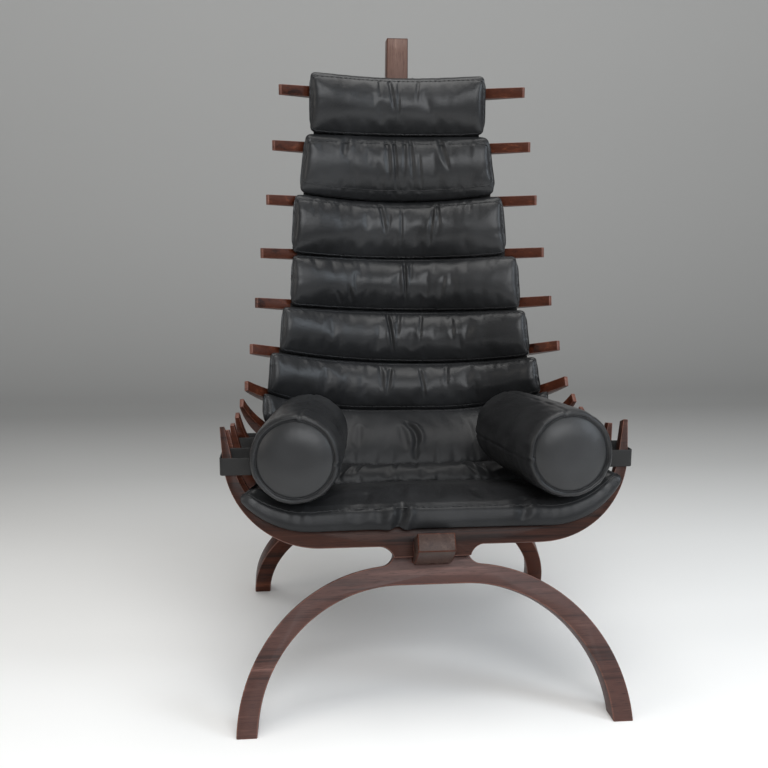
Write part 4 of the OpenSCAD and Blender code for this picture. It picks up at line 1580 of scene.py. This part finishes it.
    def seam_rows(self, plan: PadPlan) -> tuple[int, int]:
        """Finds the seams in a pad's section.

        Args:
            plan: the pad.

        Returns:
            Numbers of the loop's points at the upper and the lower seam.
        """
        turn = self.loop(plan)[2]
        upper, lower = plan.high_turn, 180 - plan.low_turn
        return int(np.argmin(np.abs(turn - upper))), int(np.argmin(np.abs(turn - lower)))

    def seam_line(self, plan: PadPlan, counts: tuple[int, int]) -> np.ndarray:
        """Finds the seam round the front panel.

        Args:
            plan: the pad.
            counts: the grid's two counts.

        Returns:
            Vertex numbers of the closed line.
        """
        across, around = counts
        upper, lower = self.seam_rows(plan)
        first, last = self.seam_column, across - 1 - self.seam_column
        line = [k * around + upper for k in range(first, last + 1)]
        line += [last * around + m for m in range(upper + 1, lower + 1)]
        line += [k * around + lower for k in range(last - 1, first - 1, -1)]
        line += [first * around + m for m in range(lower - 1, upper, -1)]
        return np.array(line)

    def inflate(self, piece: Piece, free: np.ndarray) -> None:
        """Blows a pad up as cloth, with all but its front panel held, and keeps the result.

        Args:
            piece: the pad.
            free: true for each vertex of the front panel.
        """
        rest = coordinates(piece.data)
        group = piece.vertex_groups.new(name="sewn")
        group.add([int(i) for i in np.flatnonzero(~free)], 1.0, "REPLACE")
        cloth = piece.modifiers.new("stuffing", "CLOTH")
        for key, value in {
            "quality": 6, "mass": 0.35, "tension_stiffness": 18.0, "compression_stiffness": 12.0,
            "shear_stiffness": 8.0, "bending_stiffness": 1.5, "tension_damping": 8.0, "use_pressure": True,
            "uniform_pressure_force": self.pressure, "shrink_min": self.slack, "vertex_group_mass": "sewn",
        }.items():
            setattr(cloth.settings, key, value)
        cloth.settings.effector_weights.gravity = 0.0
        cloth.collision_settings.use_collision = False
        cloth.point_cache.frame_start = 1
        cloth.point_cache.frame_end = self.frames
        scene = bpy.context.scene
        for number in range(1, self.frames + 1):
            scene.frame_set(number)
        graph = bpy.context.evaluated_depsgraph_get()
        move = coordinates(piece.evaluated_get(graph).data) - rest
        piece.modifiers.clear()
        scene.frame_set(1)
        size = np.linalg.norm(move, axis=1, keepdims=True)
        move *= np.tanh(size / self.cap) * self.cap / np.maximum(size, 1e-9)
        move_to(piece.data, rest + move)

    def gathers(self, plan: PadPlan, mesh: Mesh, line: np.ndarray) -> None:
        """Sinks the seam and puckers the leather beside it.

        Args:
            plan: the pad.
            mesh: its mesh.
            line: vertex numbers of the seam.
        """
        points = coordinates(mesh)
        seam = points[line]
        step = np.linalg.norm(np.diff(np.vstack([seam, seam[:1]]), axis=0), axis=1)
        run = np.concatenate([[0], np.cumsum(step)[:-1]])
        gap = ((points[:, None, :] - seam[None, ::2, :]) ** 2).sum(axis=2)
        near = np.argmin(gap, axis=1)
        d = np.sqrt(gap[np.arange(len(points)), near]) / MM
        at = run[::2][near] / MM
        ripple, small = Ripple(plan.seed + 40), Ripple(plan.seed + 80)
        pucker = 0.7 * ripple.at(at / 21.0) + 0.4 * small.at(at / 10.0)
        height = -1.6 * np.exp(-(d / 3.2) ** 2)
        height += plan.gather * pucker * np.exp(-(d / 13.0)) * (1 - np.exp(-(d / 4.0)))
        move_to(mesh, points + normals_of(mesh) * (height * MM)[:, None])

    def folds(self, plan: PadPlan, mesh: Mesh) -> None:
        """Presses the folds of the plan into the fine mesh and takes off the attributes that place them.

        Args:
            plan: the pad.
            mesh: its fine mesh.
        """
        values = {}
        for key in ("across", "along", "front"):
            values[key] = np.empty(len(mesh.vertices))
            mesh.attributes[key].data.foreach_get("value", values[key])
            mesh.attributes.remove(mesh.attributes[key])
        height = np.zeros(len(mesh.vertices))
        for crease in plan.creases:
            height += crease.height(values["across"], values["along"])
        move_to(mesh, coordinates(mesh) + normals_of(mesh) * (height * values["front"])[:, None])

    def place_folds(self, plan: PadPlan, mesh: Mesh, x: np.ndarray, u: np.ndarray, across: int) -> None:
        """Keeps, as attributes, where a pad's vertices lie and how much they belong to its front.

        Args:
            plan: the pad.
            mesh: its mesh.
            x: distances across in metres.
            u: shares along from 0 to 1.
            across: number of columns across.
        """
        a, b, _ = self.loop(plan)
        front = np.clip(b * 1.8 - 0.1, 0, 1)
        if plan.overhang > 0:
            front = np.maximum(front, np.clip(-a * 6 - 5, 0, 1))
            u = u + np.tile(np.where(a < 0, np.clip(b, -1, 0) * 0.25, 0.0), across)
        for key, values in (("across", x), ("along", u), ("front", np.tile(front, across))):
            attribute = mesh.attributes.new(key, "FLOAT", "POINT")
            attribute.data.foreach_set("value", np.append(values, [0.0, 0.0]).astype(np.float32))

    def build_pad(self, plan: PadPlan) -> None:
        """Makes one pad with its seam cord.

        Args:
            plan: the pad.
        """
        points, x, u, counts = self.shape(plan)
        mesh = self.mesh(plan, self.bolsters.clear(points), counts)
        across, around = counts
        self.place_folds(plan, mesh, x, u, across)
        piece = show(plan.node + "_leather", mesh)
        upper, lower = self.seam_rows(plan)
        free = np.zeros(len(mesh.vertices), bool)
        for k in range(self.held_columns, across - self.held_columns):
            free[k * around + upper + 1:k * around + lower] = True
        self.inflate(piece, free)
        line = self.seam_line(plan, counts)
        self.gathers(plan, mesh, line)
        move_to(mesh, self.bolsters.clear(coordinates(mesh)))
        seam = coordinates(mesh)[line]
        smooth = piece.modifiers.new("fine", "SUBSURF")
        smooth.levels = smooth.render_levels = 1
        baked(piece)
        self.folds(plan, piece.data)
        move_to(piece.data, self.bolsters.clear(coordinates(piece.data)))
        piece.data.shade_smooth()
        settle(piece, "chair", Slot.LEATHER, plan.node)
        welt = self.workshop.cord(plan.node + "_welt", [seam], self.welt_r, 8, self.finishes.leather)
        settle(welt, "chair", Slot.LEATHER)

    def hinges(self) -> None:
        """Makes the thin leather strips that join the pads under their seams."""
        points, faces = [], []
        c = np.linspace(-1, 1, self.hinge_columns)
        n, half, (low, high) = len(c), self.hinge_half, self.hinge_faces
        for plan, below in zip(PADS[:-1], PADS[1:]):
            half_w = float(self.lines.half_width(np.array([plan.low]), plan.low)[0]) * self.hinge_share
            shift = (plan.shift + below.shift) / 2
            first = len(points) * n
            for ds, h in ((-half, low), (half, low), (half, high), (-half, high)):
                s = plan.low - plan.sag(c, np.zeros_like(c)) + ds
                up = self.lines.up_under(s)
                points.append(self.lines.point(s, c * half_w + shift, np.full_like(c, h), up))
            for r in range(4):
                a, b = first + r * n, first + ((r + 1) % 4) * n
                faces += [(a + i, a + i + 1, b + i + 1, b + i) for i in range(n - 1)]
            faces += [tuple(first + r * n for r in range(4)), tuple(first + r * n + n - 1 for r in range(4))]
        mesh = mesh_of("pad_hinges", np.vstack(points), faces, self.finishes.strap)
        mesh.set_sharp_from_angle(angle=math.radians(60))
        settle(show("pad_hinges", mesh), "chair", Slot.LEATHER)

    def build(self) -> None:
        """Makes all the pads and the strips that join them."""
        for plan in PADS:
            self.build_pad(plan)
        self.hinges()


@dataclass
class Bolster:
    """One bolster: its cover, two end panels, piping and two straps round the horns.

    Lengths are in metres. The numbers in seam_turns are the places of the lengthwise seams in degrees.
    """

    side: Side
    line: BolsterLine
    finishes: Finishes
    workshop: Workshop
    cover_r: float = 73.8 * MM
    cover_rows: int = 120
    cover_columns: int = 193
    shoulder: float = 13 * MM
    disc_r: float = 61.4 * MM
    disc_crown: float = 13.5 * MM
    disc_rings: int = 26
    disc_sides: int = 96
    disc_back: float = 4 * MM
    roll: float = 5 * MM
    seam_turns: tuple[float, ...] = (187.0, 97.0)
    piping_r: float = 0.9 * MM
    strap_edge: float = 0.9 * MM

    def into_place(self, points: np.ndarray) -> np.ndarray:
        """Moves points from the bolster's own frame to the chair.

        Args:
            points: points with X outwards, Y along the axis and Z up, one row each.

        Returns:
            The points in the frame of the part.
        """
        start, axis, out, up = self.line.frame(self.side)
        return start + points[:, :1] * out + points[:, 1:2] * axis + points[:, 2:] * up

    @property
    def body(self) -> str:
        """Body that the bolster belongs to."""
        return self.side.word + "_bolster_body"

    def relief(self, turn: np.ndarray, y: np.ndarray, near: np.ndarray) -> np.ndarray:
        """Waves, puckers at the ends and lengthwise seams of the cover.

        Args:
            turn: turns round the axis in radians.
            y: distances along the axis in metres.
            near: distances from the nearer end in metres.

        Returns:
            Heights in metres.
        """
        c, s = np.cos(turn), np.sin(turn)
        ripple = Ripple(60 + self.side.value)
        y, near = y / MM, near / MM
        move = 0.4 * ripple.at(c * 4.2, s * 4.2) * np.exp(-near / 30) * (1 - np.exp(-near / 10))
        move += 0.1 * ripple.at(c * 9.5 + 3, s * 9.5) * np.exp(-near / 12)
        move += 0.4 * ripple.at(c * 1.6 + y * 0.009, s * 1.6 + y * 0.005)
        for seam_turn in self.seam_turns:
            off = (turn - math.radians(seam_turn) + np.pi) % (2 * np.pi) - np.pi
            off = np.abs(off) * self.cover_r / MM
            move += -1.4 * np.exp(-(off / 2) ** 2) + 0.4 * np.exp(-((off - 5.5) / 3) ** 2)
            move += -2.0 * np.exp(-(off / 3.5) ** 2) * np.exp(-near / 9)
        return move * MM

    def cover(self) -> None:
        """Rolls the cover and shapes its leather."""
        name = self.side.word + "_bolster"
        front, back = self.line.faces
        length = back - front
        piece = self.workshop.run(
            name + "_cover", bpy.data.meshes.new("cover_start"), self.workshop.cover_tree(), {
                "Length": length, "Radius": self.cover_r, "Panel Radius": self.disc_r + 0.5 * MM,
                "Shoulder": self.shoulder, "Rows": self.cover_rows, "Columns": self.cover_columns,
                "Material": self.finishes.leather,
            },
        )
        mesh = piece.data
        p = coordinates(mesh)
        r = np.hypot(p[:, 0], p[:, 2])
        y = p[:, 1]
        near = np.minimum(y, length - y)
        scale = (r + self.relief(np.arctan2(p[:, 2], p[:, 0]), y, near)) / np.maximum(r, 1e-6)
        rolled = self.roll * np.sin(np.pi * np.clip(near / self.shoulder, 0, 1) ** 0.45)
        p[:, 0] *= scale
        p[:, 2] *= scale
        p[:, 1] += front + np.where(y < length / 2, -rolled, rolled)
        move_to(mesh, self.into_place(p))
        with opened(mesh) as shell:
            rims = [e for e in shell.edges if e.is_boundary]
            bmesh.ops.holes_fill(shell, edges=rims, sides=0)
            bmesh.ops.recalc_face_normals(shell, faces=shell.faces[:])
        mesh.shade_smooth()
        settle(piece, self.body, Slot.LEATHER, name)

    def end_panels(self) -> None:
        """Makes the two domed end panels."""
        name = self.side.word + "_end_panels"
        ripple = Ripple(70 + self.side.value)
        rings, sides = self.disc_rings, self.disc_sides
        angle = np.arange(sides) * 2 * np.pi / sides
        c, s = np.cos(angle), np.sin(angle)
        sway = ripple.at(c * 3.2, s * 3.2)
        points: list[tuple[float, float, float]] = []
        faces: list[tuple[int, ...]] = []
        for face_y, outward in zip(self.line.faces, (-1.0, 1.0)):
            first = len(points)
            points.append((0.0, face_y + outward * self.disc_crown, 0.0))
            for share in np.arange(1, rings + 1) / rings:
                rise = self.disc_crown * (1 - share ** 3.2) + 0.8 * MM * sway * share ** 6 * (1 - share)
                points += zip(self.disc_r * share * c, face_y + outward * rise, self.disc_r * share * s)
            back = len(points)
            points += zip(self.disc_r * c, np.full(sides, face_y - outward * self.disc_back), self.disc_r * s)
            for i in range(sides):
                j = (i + 1) % sides
                faces.append((first, first + 1 + i, first + 1 + j))
                for k in range(rings):
                    lower, upper = first + 1 + k * sides, first + 1 + (k + 1) * sides
                    faces.append((lower + i, upper + i, upper + j, lower + j))
            faces.append(tuple(back + i for i in range(sides)))
        mesh = mesh_of(name, self.into_place(np.array(points)), faces, self.finishes.panel)
        piece = show(name, mesh)
        settle(piece, self.body, Slot.PANEL, self.side.word + "_bolster_end_panels")

    def piping(self) -> None:
        """Lays the thin welt round both end panels."""
        sides, ring_r, proud = 120, self.disc_r + 0.4 * MM, 0.6 * MM
        angle = np.arange(sides) * 2 * np.pi / sides
        rings = []
        for face_y, outward in zip(self.line.faces, (-1.0, 1.0)):
            level = np.full(sides, face_y + outward * proud)
            ring = np.stack([ring_r * np.cos(angle), level, ring_r * np.sin(angle)], axis=1)
            rings.append(self.into_place(ring))
        name, leather = self.side.word + "_piping", self.finishes.leather
        piece = self.workshop.cord(name, rings, self.piping_r, 10, leather)
        settle(piece, self.body, Slot.LEATHER, self.side.word + "_bolster_piping")

    def straps(self) -> None:
        """Gives the two strap loops rounded edges and their leather."""
        for place in ("front", "rear"):
            soft_band(f"{self.side.word}_{place}_strap", self.body, self.finishes.strap, self.strap_edge)

    def build(self) -> None:
        """Makes the bolster."""
        self.cover()
        self.end_panels()
        self.piping()
        self.straps()


def soft_band(node: str, body: str, material: Material, edge: float) -> None:
    """Dresses a node as a leather band with rounded edges.

    Args:
        node: name of the node.
        body: the body that it rides on.
        material: its leather.
        edge: width of the rounding in metres.
    """
    band = show(node + "_band", merged_copy(node, node + "_band", material))
    round_edges(band, edge, 3, 50, 50)
    settle(band, body, Slot.LEATHER, node)


@dataclass(frozen=True)
class Lamp:
    """A soft rectangular lamp: its place, the point that it faces, its size in metres and its watts."""

    name: str
    place: Triple
    aim: Triple
    size: tuple[float, float]
    power: float
    colour: Triple

    def hang(self) -> None:
        """Puts the lamp into the scene."""
        light = bpy.data.lights.new(self.name, "AREA")
        light.shape = "RECTANGLE"
        light.size, light.size_y = self.size
        light.energy = self.power
        light.color = self.colour
        lamp = bpy.data.objects.new(self.name, light)
        lamp.location = self.place
        way = Vector(self.aim) - Vector(self.place)
        lamp.rotation_euler = way.to_track_quat("-Z", "Y").to_euler()
        bpy.context.scene.collection.objects.link(lamp)


LAMPS: tuple[Lamp, ...] = (
    Lamp("lamp_overhead", (0.05, -0.15, 3.1), (0.0, 0.0, 0.3), (2.2, 1.6), 39.0, (1.0, 0.99, 0.97)),
    Lamp("lamp_front", (0.4, -3.3, 2.35), (0.0, 0.0, 0.60), (2.8, 1.7), 72.0, (0.96, 0.98, 1.0)),
    Lamp("lamp_right", (2.6, -1.5, 1.9), (0.0, 0.0, 0.6), (1.0, 1.8), 30.0, (0.80, 0.90, 1.0)),
    Lamp("lamp_left", (-2.8, -1.2, 1.7), (0.0, 0.0, 0.6), (1.0, 1.8), 12.0, (1.0, 0.95, 0.88)),
)


@dataclass
class Studio:
    """A plain pale floor that runs up into a grey backdrop, soft lamps and the camera."""

    eye: Triple = (-0.2027, -1.6896, 0.793)
    look: Triple = (0.08553, 0.98147, -0.17141)
    lens: float = 42.84
    front: float = -3.2
    bend_y: float = 2.2
    bend_r: float = 1.4
    wall_top: float = 4.2
    half_w: float = 5.5
    fade_start: float = -1.6
    fade_len: float = 5.2
    fill: float = 0.28

    def floor(self) -> None:
        """Sweeps the floor and the backdrop as one sheet."""
        line = [(y, 0.0) for y in np.linspace(self.front, self.bend_y, 24)]
        for a in np.radians(np.arange(7.5, 90.1, 7.5)):
            line.append((self.bend_y + self.bend_r * math.sin(a), self.bend_r * (1 - math.cos(a))))
        line.append((self.bend_y + self.bend_r, self.wall_top))
        points = [(x, y, z) for y, z in line for x in (-self.half_w, self.half_w)]
        faces = [(2 * i, 2 * i + 1, 2 * i + 3, 2 * i + 2) for i in range(len(line) - 1)]
        mesh = bpy.data.meshes.new("studio_floor")
        mesh.from_pydata(points, [], faces)
        mesh.materials.append(self.floor_material())
        mesh.shade_smooth()
        show("studio_floor", mesh)

    def floor_material(self) -> Material:
        """Pale floor whose colour turns to grey towards the backdrop.

        Returns:
            The material.
        """
        material, desk = new_material("studio_paper")
        place = desk.add("ShaderNodeTexCoord").outputs["Object"]
        x, y, z = desk.add("ShaderNodeSeparateXYZ", {0: place}).outputs
        away = desk.math("DIVIDE", desk.math("SUBTRACT", y, self.fade_start), self.fade_len, clamp=True)
        high = desk.math("MULTIPLY", z, 0.5, clamp=True)
        colour = desk.ramp(
            away, (0.0, (0.94, 0.94, 0.935)), (0.32, (0.92, 0.92, 0.91)), (0.40, (0.82, 0.82, 0.81)),
            (0.54, (0.57, 0.57, 0.561)), (0.78, (0.335, 0.335, 0.330)), (1.0, (0.345, 0.345, 0.339)),
        )
        aside = desk.math("ADD", desk.part(0.25, x), 0.5, clamp=True)
        shade = desk.ramp(aside, (0.0, (1.0, 1.0, 1.0)), (1.0, (0.985, 0.985, 0.985)))
        colour = desk.mix(1.0, colour, shade, "MULTIPLY")
        glow = desk.ramp(
            away, (0.0, (0.30, 0.30, 0.297)), (0.20, (0.16, 0.16, 0.158)), (0.30, (0.02, 0.02, 0.02)),
            (0.45, (0.0, 0.0, 0.0)),
        )
        glow = desk.mix(desk.math("POWER", high, 0.5), glow, (0.145, 0.145, 0.142))
        rays = desk.add("ShaderNodeLightPath").outputs
        seen = desk.math("MAXIMUM", rays["Is Glossy Ray"], rays["Is Transmission Ray"])
        close_material(desk, {
            "Base Color": colour, "Roughness": 0.85, "Specular IOR Level": 0.2,
            "Emission Color": glow, "Emission Strength": desk.math("MAXIMUM", rays["Is Camera Ray"], seen),
        })
        return material

    def lamps(self) -> None:
        """Hangs the lamps and sets the world's soft fill."""
        for lamp in LAMPS:
            lamp.hang()
        world = bpy.data.worlds.new("studio_fill")
        world.use_nodes = True
        background = world.node_tree.nodes["Background"]
        background.inputs[0].default_value = (1.0, 1.0, 1.0, 1.0)
        background.inputs[1].default_value = self.fill
        bpy.context.scene.world = world

    def camera(self) -> None:
        """Sets up the camera at the photograph's angle."""
        data = bpy.data.cameras.new("camera")
        data.sensor_width = 36.0
        data.lens = self.lens
        camera = bpy.data.objects.new("camera", data)
        camera.location = self.eye
        camera.rotation_euler = Vector(self.look).to_track_quat("-Z", "Y").to_euler()
        bpy.context.scene.collection.objects.link(camera)
        bpy.context.scene.camera = camera

    def build(self) -> None:
        """Sets up the studio."""
        self.floor()
        self.lamps()
        self.camera()
        bpy.context.scene.view_settings.view_transform = "Standard"


def main() -> None:
    logging.basicConfig(level=logging.INFO, format="%(message)s")
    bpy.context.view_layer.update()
    finishes = Finishes.made()
    lines = ChairLines()
    line = BolsterLine()
    workshop = Workshop()
    WoodenFrame(lines, finishes).build()
    Fasteners(lines, finishes, workshop).build()
    Cushion(lines, line, finishes, workshop).build()
    soft_band("head_pad_hanger", "chair", finishes.strap, 0.8 * MM)
    for side in Side:
        Bolster(side, line, finishes, workshop).build()
    Studio().build()


if __name__ == "__main__":
    main()
